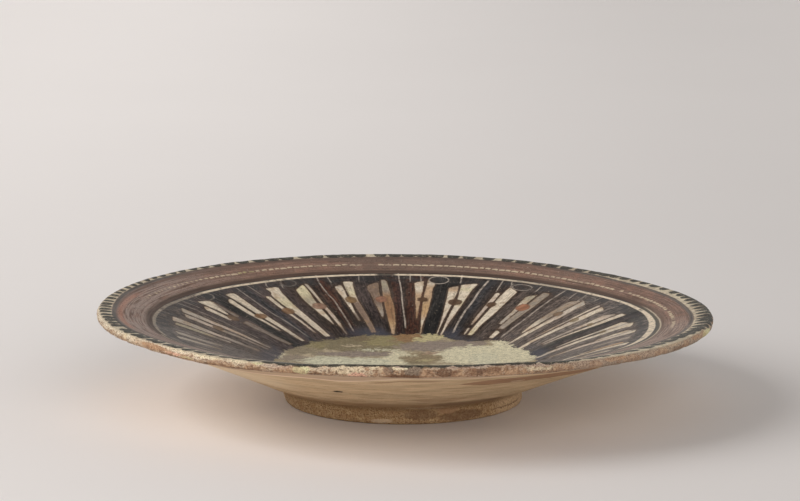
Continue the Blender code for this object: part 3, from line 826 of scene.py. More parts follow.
finish = bpy.data.materials.new("slip_painted_earthenware")
finish.use_nodes = True
tree = finish.node_tree
shader = tree.nodes["Principled BSDF"]
plate_mesh.materials.append(finish)


def feed(socket, value):
    """Links a node's output to a socket, or sets the socket to a number or colour."""
    if isinstance(value, bpy.types.NodeSocket):
        tree.links.new(value, socket)
    elif np.ndim(value):
        socket.default_value = value[:len(socket.default_value)]
    else:
        socket.default_value = value


def figure(operation, first, second=0.0, third=0.0):
    """A sum, product or other step on numbers, kept as a node."""
    step = tree.nodes.new("ShaderNodeMath")
    step.operation = operation
    for socket, value in zip(step.inputs, (first, second, third)):
        feed(socket, value)
    return step.outputs[0]


def times(first, second):
    return figure("MULTIPLY", first, second)


def plus(first, second):
    return figure("ADD", first, second)


def ease(value, low, high, start=0.0, end=1.0):
    """A soft step from start to end as the value goes from low to high."""
    step = tree.nodes.new("ShaderNodeMapRange")
    step.interpolation_type = "SMOOTHSTEP"
    for socket, number in zip(step.inputs, (value, low, high, start, end)):
        feed(socket, number)
    return step.outputs[0]


def between(value, low, high, soft):
    """1 from low to high and 0 outside, with soft edges."""
    return times(ease(value, low - soft, low + soft), ease(value, high + soft, high - soft))


def lay(under, over, cover):
    """One colour laid over another, as far as it covers."""
    step = tree.nodes.new("ShaderNodeMix")
    step.data_type = "RGBA"
    feed(step.inputs[0], cover)
    feed(step.inputs[6], under)
    feed(step.inputs[7], over)
    return step.outputs[2]


def shade(colour, amount):
    """A colour made lighter or darker by a factor."""
    step = tree.nodes.new("ShaderNodeMix")
    step.data_type = "RGBA"
    step.clamp_factor = False
    feed(step.inputs[0], amount)
    step.inputs[6].default_value = (0, 0, 0, 1)
    feed(step.inputs[7], colour)
    return step.outputs[2]


def kept(name, part="Fac"):
    """A quantity recorded on the mesh."""
    step = tree.nodes.new("ShaderNodeAttribute")
    step.attribute_name = name
    return step.outputs[part]


def grain(place, fineness, detail=2.0, rough=0.5):
    """Noise from 0 to 1 with so many lumps to the unit of place."""
    step = tree.nodes.new("ShaderNodeTexNoise")
    feed(step.inputs["Vector"], place)
    step.inputs["Scale"].default_value = fineness
    step.inputs["Detail"].default_value = detail
    step.inputs["Roughness"].default_value = rough
    return step.outputs[0]


def place_of(x, y, z):
    """A place from its three numbers."""
    step = tree.nodes.new("ShaderNodeCombineXYZ")
    for socket, value in zip(step.inputs, (x, y, z)):
        feed(socket, value)
    return step.outputs[0]


def blot(under, place, middle, half, tone, cover):
    """One stain laid over a colour: the place, its middle, its half sizes and how far it covers."""
    step = tree.nodes.new("ShaderNodeVectorMath")
    step.operation = "MULTIPLY_ADD"
    feed(step.inputs[0], place)
    step.inputs[1].default_value = (1 / half[0], 1 / half[1], 0)
    step.inputs[2].default_value = (-middle[0] / half[0], -middle[1] / half[1], 0)
    reach = tree.nodes.new("ShaderNodeVectorMath")
    reach.operation = "LENGTH"
    feed(reach.inputs[0], step.outputs[0])
    return lay(under, tone, ease(reach.outputs["Value"], 1.12, 0.86, 0.0, cover))


# Places on the dish: in millimetres, out from its middle, and around it as a bearing that
# runs from -158 degrees at the left front, by the right and the back, round to 202
position = tree.nodes.new("ShaderNodeTexCoord").outputs["Object"]
scaled = tree.nodes.new("ShaderNodeVectorMath")
scaled.operation = "SCALE"
feed(scaled.inputs[0], position)
scaled.inputs["Scale"].default_value = 1000.0
place_mm = scaled.outputs[0]
split = tree.nodes.new("ShaderNodeSeparateXYZ")
feed(split.inputs[0], place_mm)
right, back = split.outputs[:2]
out = figure("SQRT", plus(times(right, right), times(back, back)))
out_share = figure("DIVIDE", out, RIM_RADIUS / mm)
cosine = figure("DIVIDE", right, figure("MAXIMUM", out, 1.0))
sine = figure("DIVIDE", back, figure("MAXIMUM", out, 1.0))
travel = kept("along")
BEARING_MIDDLE = 22
middle_sine = math.sin(math.radians(BEARING_MIDDLE))
middle_cosine = math.cos(math.radians(BEARING_MIDDLE))
turned_sine = plus(times(sine, middle_cosine), times(cosine, -middle_sine))
turned_cosine = plus(times(cosine, middle_cosine), times(sine, middle_sine))
true_bearing = plus(times(figure("ARCTAN2", turned_sine, turned_cosine), 180 / math.pi),
                    BEARING_MIDDLE)


def around(round_about, outward_way):
    """A place for noise, with so many lumps to a radian around and to a millimetre outward."""
    return place_of(times(cosine, round_about), times(sine, round_about),
                    times(travel, outward_way))


# The grain of slip and clay: even, drawn out around the dish by turning, or out along the wall
fine = grain(place_mm, 1.0, 3.0, 0.62)
speck = grain(place_mm, 0.72, 2.0, 0.6)
small = grain(place_mm, 0.36, 4.0, 0.6)
medium = grain(place_mm, 0.13, 4.0, 0.6)
broad = grain(place_mm, 0.032, 3.0, 0.55)
turned = grain(around(5.0, 0.85), 1.0, 3.0, 0.6)
turned_fine = grain(around(9.0, 2.0), 1.0, 3.0, 0.6)
mottle = grain(around(62.0, 0.30), 1.0, 3.0, 0.62)
streak = grain(around(105.0, 0.045), 1.0, 3.0, 0.6)
hair = grain(around(190.0, 0.07), 1.0, 2.0, 0.6)
patch = grain(around(16.0, 0.22), 1.0, 4.0, 0.62)
fleck = grain(around(80.0, 1.1), 1.0, 3.0, 0.65)
fleck_fine = grain(around(185.0, 2.0), 1.0, 2.0, 0.6)
banding = grain(around(4.0, 0.10), 1.0, 3.0, 0.62)
banding_fine = grain(around(7.0, 0.34), 1.0, 3.0, 0.62)

# Ragged places, for the edges of marks, and the parts of the dish by direction
direction = plus(true_bearing, times(plus(small, -0.5), 0.12))
wander_out = plus(plus(times(fine, 1.3), times(small, 2.4)), plus(times(medium, 2.0), -2.85))
wander_round = plus(plus(times(speck, 0.55), times(mottle, 0.6)),
                    plus(times(patch, 1.5), -1.325))
rim_place = place_of(plus(direction, wander_round), plus(travel, wander_out), 0.0)
wander_right = plus(plus(times(fleck, 5.0), times(small, 10.0)),
                    plus(times(medium, 18.0), -16.5))
wander_back = plus(plus(times(speck, 6.0), times(fine, 8.0)), plus(times(patch, 26.0), -20.0))
floor_place = place_of(plus(right, wander_right), plus(back, wander_back), 0.0)
edge_wander = plus(times(plus(small, -0.5), 1.3), times(plus(fine, -0.5), 1.1))
left_front = ease(direction, -132.0, -156.0)
left_back = ease(direction, 165.0, 200.0)
left_end = plus(ease(direction, 120.0, 165.0), left_front)

# The dark slip over the wall: brushed outward, mottled, darker towards the back and in patches
# near its outer edge, thin and brown beside the strips, with a painted bluish sheen near its inner
# edge, and scuffed
dark = shade(kept("dark_tone", "Color"), ease(mottle, 0.34, 0.66, 0.40, 1.29))
dark = shade(dark, ease(streak, 0.34, 0.66, 0.62, 1.32))
towards_back = between(direction, 58.0, 124.0, 14.0)
dark = lay(dark, slip(60, 58, 58),
           times(ease(out_share, 0.735, 0.775), ease(patch, 0.36, 0.60, 0.1, 0.8)))
# The wall is darker towards the back: most near the dark slip's inner edge, less further out, a
# little more near its outer edge
middle_darkening = figure("SUBTRACT", ease(direction, 64.0, 76.0, 0.14, 0.30),
                      ease(direction, 97.0, 108.0, 0.0, 0.18))
back_darkening = plus(ease(out_share, 0.66, 0.50, middle_darkening, 0.54),
                     ease(out_share, 0.68, 0.74, 0.0, 0.10))
dark = shade(dark, figure("SUBTRACT", 1.0, times(towards_back, back_darkening)))
dark = lay(dark, slip(88, 66, 50), times(ease(kept("strip"), -1.5, -0.1), 0.40))
# A painted bluish sheen on the dark slip near its inner edge
dark = lay(dark, slip(70, 72, 84),
           times(ease(out_share, 0.50, 0.45), ease(broad, 0.45, 0.6, 0.0, 0.5)))
dark = lay(dark, slip(128, 118, 112),
           times(ease(hair, 0.57, 0.68), ease(left_end, 0.0, 1.0, 0.16, 0.75)))
dark = lay(dark, slip(140, 126, 112),
           times(ease(speck, 0.62, 0.72), ease(medium, 0.42, 0.60, 0.1, 0.7)))
dark = lay(dark, slip(30, 28, 28), ease(fine, 0.42, 0.32, 0.0, 0.55))

# The strips left bare: cream slip, warmer in places, pitted, its edges a little drawn in
cream = shade(kept("strip_tone", "Color"), ease(mottle, 0.34, 0.66, 0.80, 1.12))
cream = lay(cream, slip(158, 128, 96), times(ease(medium, 0.50, 0.66), 0.45))
cream = lay(cream, slip(120, 100, 80), ease(fine, 0.58, 0.70, 0, 0.50))
cream = lay(cream, slip(140, 118, 94), times(ease(kept("strip"), 0.8, 0.0), 0.40))
strip_edge = plus(kept("strip"), times(edge_wander, 0.7))
strip_cover = times(ease(strip_edge, -0.20, 0.20), kept("strip_tone", "Alpha"))
strip_cover = times(strip_cover, ease(streak, 0.30, 0.46, 0.62, 1.0))
strip_cover = times(strip_cover, ease(speck, 0.30, 0.38, 0.3, 1.0))
wall = lay(dark, cream, strip_cover)

# The brown spots
spot_edge = plus(kept("spot"), times(edge_wander, 1.1))
spot_cover = times(ease(spot_edge, -0.4, 0.5), kept("spot_tone", "Alpha"))
spot_colour = shade(kept("spot_tone", "Color"), ease(small, 0.32, 0.68, 0.68, 1.18))
spot_colour = lay(spot_colour, slip(80, 58, 44), times(ease(kept("spot"), 1.4, 0.2), 0.45))
wall = lay(wall, spot_colour, times(spot_cover, 0.95))

# The scratched lines
line_gap = figure("SUBTRACT", times(kept("scratch_width"), 0.5),
                  figure("ABSOLUTE", kept("scratch")))
line_cover = ease(plus(line_gap, times(plus(fine, -0.5), 0.9)), -0.16, 0.14)
line_cover = times(line_cover, ease(kept("scratch_guard"), 1.6, 1.1))
line_cover = times(line_cover, kept("scratch_depth"))
line_cover = times(line_cover, ease(patch, 0.34, 0.56, 0.35, 1.0))
wall = lay(wall, shade(slip(180, 166, 152), ease(small, 0.3, 0.7, 0.8, 1.15)), line_cover)

# The turned bands of the rim: red-brown slip in streaks, with a row of cream dashes
band = plus(out_share, times(plus(broad, -0.5), 0.008))
band = plus(band, times(plus(small, -0.5), 0.0045))
outer_red = times(between(band, 0.915, 0.935, 0.008), ease(direction, 160.0, 170.0))
red = shade(slip(124, 96, 82), ease(turned, 0.34, 0.66, 0.56, 1.30))
red = lay(red, slip(146, 108, 90), times(ease(patch, 0.46, 0.62), 0.55))
red = lay(red, slip(92, 78, 72), times(ease(turned_fine, 0.50, 0.64), 0.55))
red = lay(red, slip(150, 133, 124),
          times(ease(turned, 0.36, 0.58), ease(left_end, 0.0, 1.0, 0.10, 0.85)))
red = lay(red, slip(158, 143, 132),
          times(ease(turned_fine, 0.56, 0.66), ease(left_end, 0.0, 1.0, 0.0, 0.6)))
right_front = figure("SUBTRACT", ease(direction, 2.0, -16.0), left_front)
red = lay(red, slip(158, 140, 129), times(right_front, ease(turned, 0.36, 0.60, 0.2, 0.8)))
red = lay(red, slip(96, 84, 76), times(between(direction, 72.0, 104.0, 9.0), 0.45))
red = lay(red, slip(164, 116, 96), times(outer_red, 0.65))
red = lay(red, slip(76, 56, 47), ease(fine, 0.45, 0.35, 0, 0.75))
red = lay(red, slip(74, 56, 48),
          times(ease(turned_fine, 0.47, 0.36), ease(left_end, 0.0, 1.0, 0.65, 0.25)))
red = lay(red, slip(168, 150, 134), ease(speck, 0.62, 0.73, 0, 0.60))
red = lay(red, slip(86, 68, 60), times(ease(band, 0.926, 0.940), 0.55))
red = lay(red, slip(96, 78, 66), times(ease(band, 0.856, 0.842), 0.55))

# The dashes: brushed one by one, so their lengths and places differ, and a few are missing
DASH_PITCH = 1.66
dash_step = figure("DIVIDE", plus(direction, times(plus(medium, -0.5), 1.6)), DASH_PITCH)
dash_part = figure("ABSOLUTE", plus(figure("FRACT", dash_step), -0.5))
dash_number = tree.nodes.new("ShaderNodeTexWhiteNoise")
dash_number.noise_dimensions = "1D"
feed(dash_number.inputs["W"], figure("FLOOR", dash_step))
dash_chance = dash_number.outputs["Value"]
dash_half = ease(direction, 132.0, 150.0, 0.46, 0.24)
dash_long = figure("SUBTRACT", plus(dash_part, times(dash_chance, 0.14)), dash_half)
dash_long = ease(dash_long, 0.05, -0.08)
dash_radius = plus(ease(direction, 28.0, 124.0, 0.8725, 0.889),
                   times(plus(dash_chance, -0.5), 0.004))
dash_off = figure("SUBTRACT", plus(band, times(plus(dash_part, -0.25), 0.006)), dash_radius)
dash_off = figure("ABSOLUTE", dash_off)
dash_cover = times(dash_long, ease(dash_off, 0.0072, 0.0026))
dash_cover = times(dash_cover, ease(dash_chance, 0.02, 0.10))
dash_cover = times(dash_cover, ease(patch, 0.34, 0.50, 0.45, 1.0))
dash_cover = times(dash_cover, between(direction, -12.0, 166.0, 4.0))
dash_gap = between(direction, 96.3, 100.2, 0.5)
dash_cover = times(dash_cover, figure("SUBTRACT", 1.0, dash_gap))
dash_colour = lay(slip(188, 170, 144), slip(170, 160, 112), between(direction, 126.3, 130.6, 0.6))
red = lay(red, dash_colour, times(dash_cover, 0.9))

# The cream line inside them, broad at the right, thin at the back and worn at the left
line_shift = ease(direction, 150.0, 176.0, 0.0, 0.006)
line_inner = plus(plus(ease(direction, -14.0, 14.0, 0.787, 0.804), line_shift),
                  times(plus(small, -0.5), 0.010))
line_outer = plus(ease(direction, -12.0, 9.0, 0.8125, 0.8185),
                  ease(direction, 10.0, 24.0, 0.0, -0.003))
line_outer = plus(plus(line_outer, line_shift), ease(direction, -18.0, -30.0, 0.0, -0.006))
cream_line = times(ease(figure("SUBTRACT", band, line_inner), -0.002, 0.002),
                   ease(figure("SUBTRACT", band, line_outer), 0.002, -0.002))
line_worn = times(between(direction, 92.4, 97.2, 0.8), 0.9)
line_worn = plus(line_worn, times(between(direction, 46.0, 64.0, 6.0), 0.35))
line_worn = plus(line_worn, ease(direction, 146.0, 152.0, 0.0, 0.66))
line_worn = plus(line_worn, ease(direction, -27.0, -38.0, 0.0, 0.9))
cream_line = times(cream_line, figure("SUBTRACT", 1.0, line_worn))
cream_line = times(cream_line, ease(plus(times(small, 0.5), times(medium, 0.5)),
                                    0.36, 0.48, 0.35, 1.0))
rim = lay(wall, red, ease(band, 0.820, 0.826))
dark_line = times(times(ease(band, 0.8175, 0.822), ease(band, 0.845, 0.836)),
                  ease(direction, 6.0, 20.0, 0.25, 1.0))
rim = lay(rim, shade(slip(72, 56, 48), ease(turned, 0.3, 0.7, 0.7, 1.3)), times(dark_line, 0.85))
rim = lay(rim, shade(slip(204, 187, 164), ease(small, 0.32, 0.68, 0.80, 1.12)), cream_line)
olive_line = times(between(band, 0.8185, 0.828, 0.0015), ease(direction, 24.0, 14.0))
rim = lay(rim, slip(82, 78, 68), times(olive_line, 0.8))
outer_thin = times(between(band, 0.8285, 0.8335, 0.0015), ease(direction, 19.0, 12.0))
rim = lay(rim, slip(186, 172, 150), times(outer_thin, 0.75))

# The cream ground outside them with the dabs, and a thin grey line along its inner edge
ground = shade(slip(192, 178, 154), ease(small, 0.32, 0.68, 0.72, 1.14))
ground = lay(ground, slip(140, 122, 104), times(ease(medium, 0.46, 0.62), 0.6))
ground = lay(ground, slip(104, 90, 78), ease(fine, 0.56, 0.70, 0, 0.65))
ground_edge = plus(ease(direction, 34.0, 58.0, 0.944, 0.957),
                   ease(direction, 112.0, 132.0, 0.0, 0.010))
ground_edge = plus(ground_edge, ease(direction, 26.0, 6.0, 0.0, -0.008))
ground_edge = plus(ground_edge, ease(direction, 156.0, 184.0, 0.0, -0.015))
ground_edge = plus(ground_edge, times(left_front, 0.016))
past_edge = figure("SUBTRACT", band, ground_edge)
rim = lay(rim, ground, ease(past_edge, -0.002, 0.003))
grey_line = times(between(past_edge, -0.0135, -0.001, 0.003),
                  ease(patch, 0.34, 0.50, 0.45, 1.0))
grey_line = times(grey_line, figure("SUBTRACT", 1.0,
                                    times(between(direction, 56.0, 142.0, 8.0), 0.85)))
rim = lay(rim, shade(slip(84, 80, 76), ease(turned, 0.3, 0.7, 0.7, 1.3)), times(grey_line, 0.85))

# The lip: worn in fine flecks, drawn out along it, down to the tan clay; the brown flecks
# thicken towards its low edge, partly wear and partly painted shade
lip_colour = shade(kept("lip_tone", "Color"), ease(fleck, 0.34, 0.66, 0.84, 1.12))
# The flecks are biased towards the lip's low edge: partly wear, partly painted shade
wear_and_shade_place = plus(fleck, ease(travel, -3.4, 1.6, -0.095, 0.085))
wear_and_shade_place = plus(wear_and_shade_place, times(plus(patch, -0.5), 0.30))
worn_tone = lay(slip(146, 116, 90), slip(112, 86, 66), ease(small, 0.44, 0.58))
worn_tone = lay(worn_tone, slip(126, 110, 95), between(direction, -60.0, -6.0, 8.0))
lip_colour = lay(lip_colour, worn_tone, times(ease(wear_and_shade_place, 0.49, 0.54), 0.88))

# The lip's larger flakes and stains
MARK_TONES = {
    "lichen": slip(186, 178, 138), "ivory": slip(208, 193, 162), "pink": slip(196, 152, 130),
    "rust": slip(158, 122, 92), "brown": slip(96, 68, 50), "slate": slip(114, 98, 84),
    "mauve": slip(152, 132, 120), "soot": slip(66, 54, 46), "olive": slip(126, 118, 84),
    "fawn": slip(168, 146, 122), "drab": slip(146, 124, 106), "sand": slip(190, 166, 140),
}
# Each mark: azimuth, millimetres along the surface down from the lip's edge (inward is less
# than 0), half sizes of both, tone and cover
LIP_MARKS = (
    (-150.6, -2.0, 0.8, 2.2, "ivory", 1.0), (-146.0, -1.5, 2.6, 2.4, "sand", .5),
    (-140.5, -0.6, 3.8, 1.7, "rust", .95), (-135.0, 0.4, 2.2, 0.9, "pink", .9),
    (-131.2, 0.9, 1.4, 0.7, "lichen", .7), (-134.5, -2.6, 2.6, 1.0, "ivory", .7),
    (-126.5, -2.2, 3.4, 1.1, "ivory", .85), (-125.0, 0.0, 3.4, 0.9, "drab", .7),
    (-124.0, 1.7, 5.5, 0.7, "brown", .6), (-120.0, -2.6, 1.8, 1.4, "ivory", .7),
    (-116.2, -3.0, 1.3, 1.6, "lichen", .85), (-112.5, -1.8, 3.0, 1.8, "mauve", .55),
    (-108.0, -0.4, 1.4, 3.2, "lichen", .95), (-105.6, 1.9, 1.4, 0.8, "brown", .6),
    (-99.8, -1.0, 2.6, 2.2, "ivory", .45), (-98.2, 1.2, 1.8, 0.8, "pink", .8),
    (-94.6, -1.6, 1.5, 1.6, "ivory", .6), (-92.8, -0.6, 0.95, 2.6, "slate", .95),
    (-88.6, -0.6, 1.6, 2.6, "slate", .95), (-90.2, 1.8, 4.2, 0.9, "brown", .9),
    (-90.8, -2.2, 1.25, 1.7, "ivory", .85), (-90.8, -2.6, 0.85, 1.2, "mauve", .95),
    (-86.6, -2.4, 1.1, 0.7, "ivory", .8), (-79.0, -2.6, 7.0, 1.5, "mauve", .5),
    (-83.0, 0.3, 2.0, 1.4, "brown", .85), (-78.0, 0.2, 1.6, 1.5, "brown", .9),
    (-75.2, 0.0, 1.5, 1.3, "brown", .85), (-72.9, -0.5, 0.5, 0.6, "brown", .8),
    (-67.5, -2.6, 5.5, 1.6, "mauve", .5), (-66.5, 0.0, 3.0, 0.6, "ivory", .45),
    (-56.0, -1.0, 4.0, 2.0, "drab", .5), (-50.5, -1.4, 2.6, 1.2, "rust", .5),
    (-42.0, -0.8, 3.0, 1.6, "drab", .6), (-33.0, -2.4, 2.4, 1.2, "fawn", .7),
    (-31.5, 0.6, 3.0, 0.8, "brown", .6), (-24.0, -1.6, 2.2, 1.6, "rust", .6),
    (-17.2, 0.4, 3.0, 2.6, "lichen", .95), (-13.6, -3.6, 1.6, 1.4, "slate", .7),
    (-9.0, 1.4, 2.4, 2.0, "olive", .7), (-3.5, -1.0, 1.6, 1.8, "rust", .6),
)
for middle, out_mm, half_width, half_height, tone, cover in LIP_MARKS:
    lip_colour = blot(lip_colour, rim_place, (middle, out_mm), (half_width, half_height),
                      MARK_TONES[tone], cover)

# Its fine flecks, the pale ones near its crest and at the left partly painted highlight, and its
# edge over the painted rim with the dabs on it
lip_colour = shade(lip_colour, ease(fleck_fine, 0.32, 0.68, 0.78, 1.16))
lip_colour = lay(lip_colour, slip(78, 58, 46), ease(fleck_fine, 0.43, 0.36, 0, 0.75))
# Pale flecks near the lip's crest, most at the left: partly pale slip, partly painted highlight
pale_fleck_and_highlight = times(ease(fleck_fine, 0.58, 0.64), ease(travel, 1.6, -1.0, 0.25, 0.85))
lip_colour = lay(lip_colour, slip(208, 192, 164),
                 times(pale_fleck_and_highlight, ease(direction, -92.0, -140.0, 0.22, 0.8)))
edge_place = plus(travel, times(edge_wander, 1.1))
rim = lay(rim, lip_colour, ease(edge_place, -3.4, -2.2))
# The dabs; at the front they make a dark line along the crest that is partly painted shadow
dab_cover = ease(plus(kept("dab"), times(edge_wander, 0.7)), -0.16, 0.16)
dab_cover = times(dab_cover, ease(speck, 0.70, 0.60, 0.45, 1.0))
dab_colour = shade(slip(44, 43, 39), ease(small, 0.3, 0.7, 0.55, 1.5))
rim = lay(rim, dab_colour, times(dab_cover, 0.95))

# The floor of the well: a chalky cream slip that has flaked and yellowed
floor_right = plus(right, -1.7)
floor_back = plus(back, 1.2)
floor_out = figure("SQRT", plus(times(floor_right, floor_right), times(floor_back, floor_back)))
floor_edge = plus(floor_out,
                  plus(times(plus(medium, -0.5), 11.0), times(plus(small, -0.5), 9.0)))
floor_edge = plus(floor_edge, times(plus(fleck, -0.5), 6.0))
floor_edge = plus(floor_edge, times(between(direction, 51.0, 70.0, 4.0), 8.0))
floor_edge = plus(floor_edge, times(between(direction, -10.0, 34.0, 6.0), 2.5))
well = slip(158, 142, 116)

# Its flaked and stained places
WELL_TONES = {
    "olive": slip(120, 108, 82), "moss": slip(142, 130, 90), "bark": slip(140, 106, 72),
    "straw": slip(186, 173, 130), "mauve": slip(136, 121, 111), "chalk": slip(198, 192, 166),
    "ivory": slip(208, 198, 168), "pale": slip(190, 172, 144), "ash": slip(142, 128, 108),
    "umber": slip(104, 84, 64), "rose": slip(172, 140, 120), "dun": slip(132, 114, 86),
}
# Each mark: millimetres to the right and back, half sizes of both, tone and cover
WELL_MARKS = (
    (-44, 44, 40, 27, "olive", .95), (-26, 62, 40, 16, "olive", .95), (-64, 24, 16, 26, "ash", .6),
    (-52, 44, 7, 9, "moss", .5), (-12, 57, 12, 13, "moss", .85),
    (-26, 64, 6, 8, "umber", .5), (1, 67, 9, 12, "bark", .9), (-6, 58, 3, 8, "dun", .7),
    (20, 72, 10, 8, "straw", .9), (12, 61, 6, 7, "straw", .9),
    (40, 60, 14, 8, "olive", .6), (19, 43, 24, 14, "mauve", .95), (35, 50, 13, 9, "mauve", .9),
    (-32, 44, 5, 3, "pale", .8), (-44, 30, 9, 2.6, "pale", .75), (-56, 17, 4, 7, "pale", .7),
    (-15, 34, 16, 2.2, "chalk", .9), (-64, 8, 12, 8, "mauve", .55), (-74, 14, 5, 10, "ivory", .8),
    (-28, 0, 34, 11, "chalk", 1.0), (-46, 10, 10, 4, "chalk", .9), (-4, 12, 8, 20, "ivory", .95),
    (-29, 22, 22, 8, "mauve", .95),
    (47, 16, 31, 27, "ivory", 1.0), (60, 47, 9, 13, "ivory", 1.0), (40, 36, 10, 8, "ivory", .9),
    (70, 24, 9, 14, "ivory", 1.0), (46, 8, 9, 17, "chalk", .5),
    (9, 10, 12, 16, "dun", .95), (14, 24, 5, 3, "rose", .6), (4, 18, 5, 2.4, "ivory", .7),
    (12, 4, 5, 3.5, "straw", .6), (7, -2, 6, 4, "olive", .7),
    (-40, -24, 34, 18, "chalk", .75), (18, -34, 50, 26, "ivory", .50),
    (0, -62, 60, 11, "olive", .5),
)
for right_mm, back_mm, half_width, half_depth, tone, cover in WELL_MARKS:
    well = blot(well, floor_place, (right_mm, back_mm), (half_width, half_depth),
                WELL_TONES[tone], cover)
well_light = plus(times(small, 0.5), times(fine, 0.5))
well = shade(well, ease(well_light, 0.34, 0.66, 0.66, 1.21))
well = lay(well, slip(96, 82, 60), ease(speck, 0.57, 0.67, 0, 0.70))
well = lay(well, slip(206, 196, 168), times(ease(fleck_fine, 0.60, 0.68), 0.5))
upper_side = lay(well, rim, ease(floor_edge, 75.3, 76.5))
on_floor = ease(floor_edge, 76.5, 75.3)

# Bare clay: under the dish and at the chips, with the lines that turning left
body = shade(slip(196, 171, 138), ease(banding, 0.34, 0.66, 0.88, 1.11))
body = lay(body, slip(214, 193, 160), times(ease(banding_fine, 0.50, 0.62), 0.38))
body = lay(body, slip(150, 121, 90), times(ease(banding_fine, 0.48, 0.38), 0.40))
body = lay(body, slip(116, 88, 64), ease(fine, 0.60, 0.72, 0, 0.60))
body = lay(body, slip(212, 194, 164), ease(speck, 0.60, 0.72, 0, 0.35))
past_run = figure("SUBTRACT", plus(travel, times(plus(banding_fine, -0.5), 5.0)),
                  kept("slip_end"))
body = lay(body, slip(184, 157, 136), times(ease(past_run, 0.0, -2.0), 0.65))
pale_left = times(plus(ease(direction, -116.0, -132.0), left_back),
                  between(travel, 34.0, 78.0, 9.0))
body = lay(body, slip(222, 204, 176), times(pale_left, 0.65))
pale_end = times(between(past_run, -2.0, 2.2, 1.0), ease(banding, 0.36, 0.54, 0.45, 1.0))
body = lay(body, slip(226, 204, 178), times(pale_end, 0.80))
brown_end = times(between(past_run, 7.5, 11.5, 1.5), between(direction, -97.0, -83.0, 2.0))
body = lay(body, slip(148, 116, 90), times(brown_end, 0.75))
over_travel = plus(travel, times(plus(medium, -0.5), 7.0))
overrun = figure("MINIMUM", figure("SUBTRACT", over_travel, kept("overrun_top")),
                 figure("SUBTRACT", kept("overrun_low"), over_travel))
overrun = times(ease(overrun, -1.0, 1.2), between(direction, -77.5, -41.5, 0.8))
overrun_tone = shade(slip(150, 114, 88), ease(banding_fine, 0.34, 0.66, 0.82, 1.15))
body = lay(body, overrun_tone, times(overrun, 0.90))
# Painted shade in the recess just above the foot, on the dish's left half
painted_recess_shade = times(ease(travel, 92.0, 103.0), plus(ease(direction, -36.0, -50.0), left_back))
body = lay(body, slip(142, 109, 76), times(painted_recess_shade, 0.70))

# The foot: soiled brown, with a pale crust on it
foot_zone = ease(plus(travel, times(plus(medium, -0.5), 6.0)), 106.0, 109.0)
crust = ease(plus(times(fleck_fine, 0.5), times(fine, 0.5)), 0.46, 0.55)
foot_clay = lay(slip(142, 109, 76), slip(184, 158, 118),
                times(crust, ease(patch, 0.38, 0.60, 0.25, 0.85)))
# The foot is paler from its right round to the back
paler_right_and_back = figure("SUBTRACT", ease(direction, -46.0, -34.0), left_back)
foot_clay = lay(foot_clay, slip(196, 166, 130), times(paler_right_and_back, 0.55))
foot_clay = lay(foot_clay, slip(84, 60, 40), ease(fine, 0.45, 0.36, 0.0, 0.65))
body = lay(body, foot_clay, times(foot_zone, 0.94))

# Stains of the underside and the foot, given as the lip's are
BODY_MARKS = (
    (-108.9, 69.2, 1.5, 2.4, "soot", 1.0), (-63.8, 42.5, 1.8, 2.2, "sand", .9),
    (-78.0, 88, 9, 5, "rust", .35), (-64.0, 102, 16, 5.5, "brown", .40),
    (-81.0, 110.4, 10, 1.8, "sand", .50), (-82.5, 117.5, 8.0, 3.6, "brown", .50),
    (-62.0, 119.5, 12.0, 3.2, "brown", .60), (-70.0, 114.5, 6, 3.0, "rust", .55),
    (-29, 119.6, 15, .55, "brown", .6), (-101.0, 121.5, 5, 1.4, "sand", .6),
    (60, 50, 40, 14, "drab", .35), (175, 60, 30, 14, "rust", .3),
)
for middle, out_mm, half_width, half_height, tone, cover in BODY_MARKS:
    body = blot(body, rim_place, (middle, out_mm), (half_width, half_height),
                MARK_TONES[tone], cover)

# The slip ends just under the lip, and has run down in places
under = lay(lip_colour, body, ease(plus(travel, times(edge_wander, 1.6)), 2.6, 3.8))
colour = lay(upper_side, under, ease(travel, 1.0, 2.4))

# Wear: chips down to the clay, and a thin pale film that is partly dust and partly painted sheen
chip_cover = ease(plus(kept("chip"), times(plus(small, -0.5), 1.0)), 0.42, 0.60)
chip_clay = lay(slip(178, 144, 112), slip(128, 92, 70), ease(small, 0.40, 0.60))
colour = lay(colour, shade(chip_clay, ease(fine, 0.3, 0.7, 0.7, 1.2)), times(chip_cover, 0.35))
# A thin pale film, partly dust and partly painted sheen
colour = lay(colour, slip(160, 150, 138), ease(broad, 0.40, 0.70, 0.0, 0.03))

# How shiny each part is, and the relief of grain, slip edges, scratches and turning lines
bare = figure("MAXIMUM", ease(travel, 3.0, 5.0), times(chip_cover, 0.9))
bare = figure("MAXIMUM", bare, times(on_floor, 0.8))
gloss = plus(0.42, plus(times(medium, 0.22), times(fine, 0.14)))
gloss = plus(gloss, times(strip_cover, 0.06))
roughness = figure("MAXIMUM", gloss, times(bare, 0.88))
relief = times(fine, 0.05)
for raised, amount in ((small, 0.09), (turned, 0.06), (strip_cover, -0.05), (line_cover, -0.12),
                       (dab_cover, 0.05), (spot_cover, 0.05)):
    relief = plus(relief, times(raised, amount))
relief = plus(relief, times(times(bare, plus(small, fine)), 0.14))
relief = plus(relief, times(times(foot_zone, crust), 0.16))
bump = tree.nodes.new("ShaderNodeBump")
bump.inputs["Strength"].default_value = 0.9
bump.inputs["Distance"].default_value = 0.001
feed(bump.inputs["Height"], relief)
feed(shader.inputs["Base Color"], colour)
feed(shader.inputs["Roughness"], roughness)
feed(shader.inputs["Normal"], bump.outputs[0])
shader.inputs["IOR"].default_value = 1.45
shader.inputs["Specular IOR Level"].default_value = 0.16


# The studio: a sheet of pale warm grey paper on a table, with a large soft light from the left,
# a weaker one from the front right, light from all around, and the camera just above the rim.

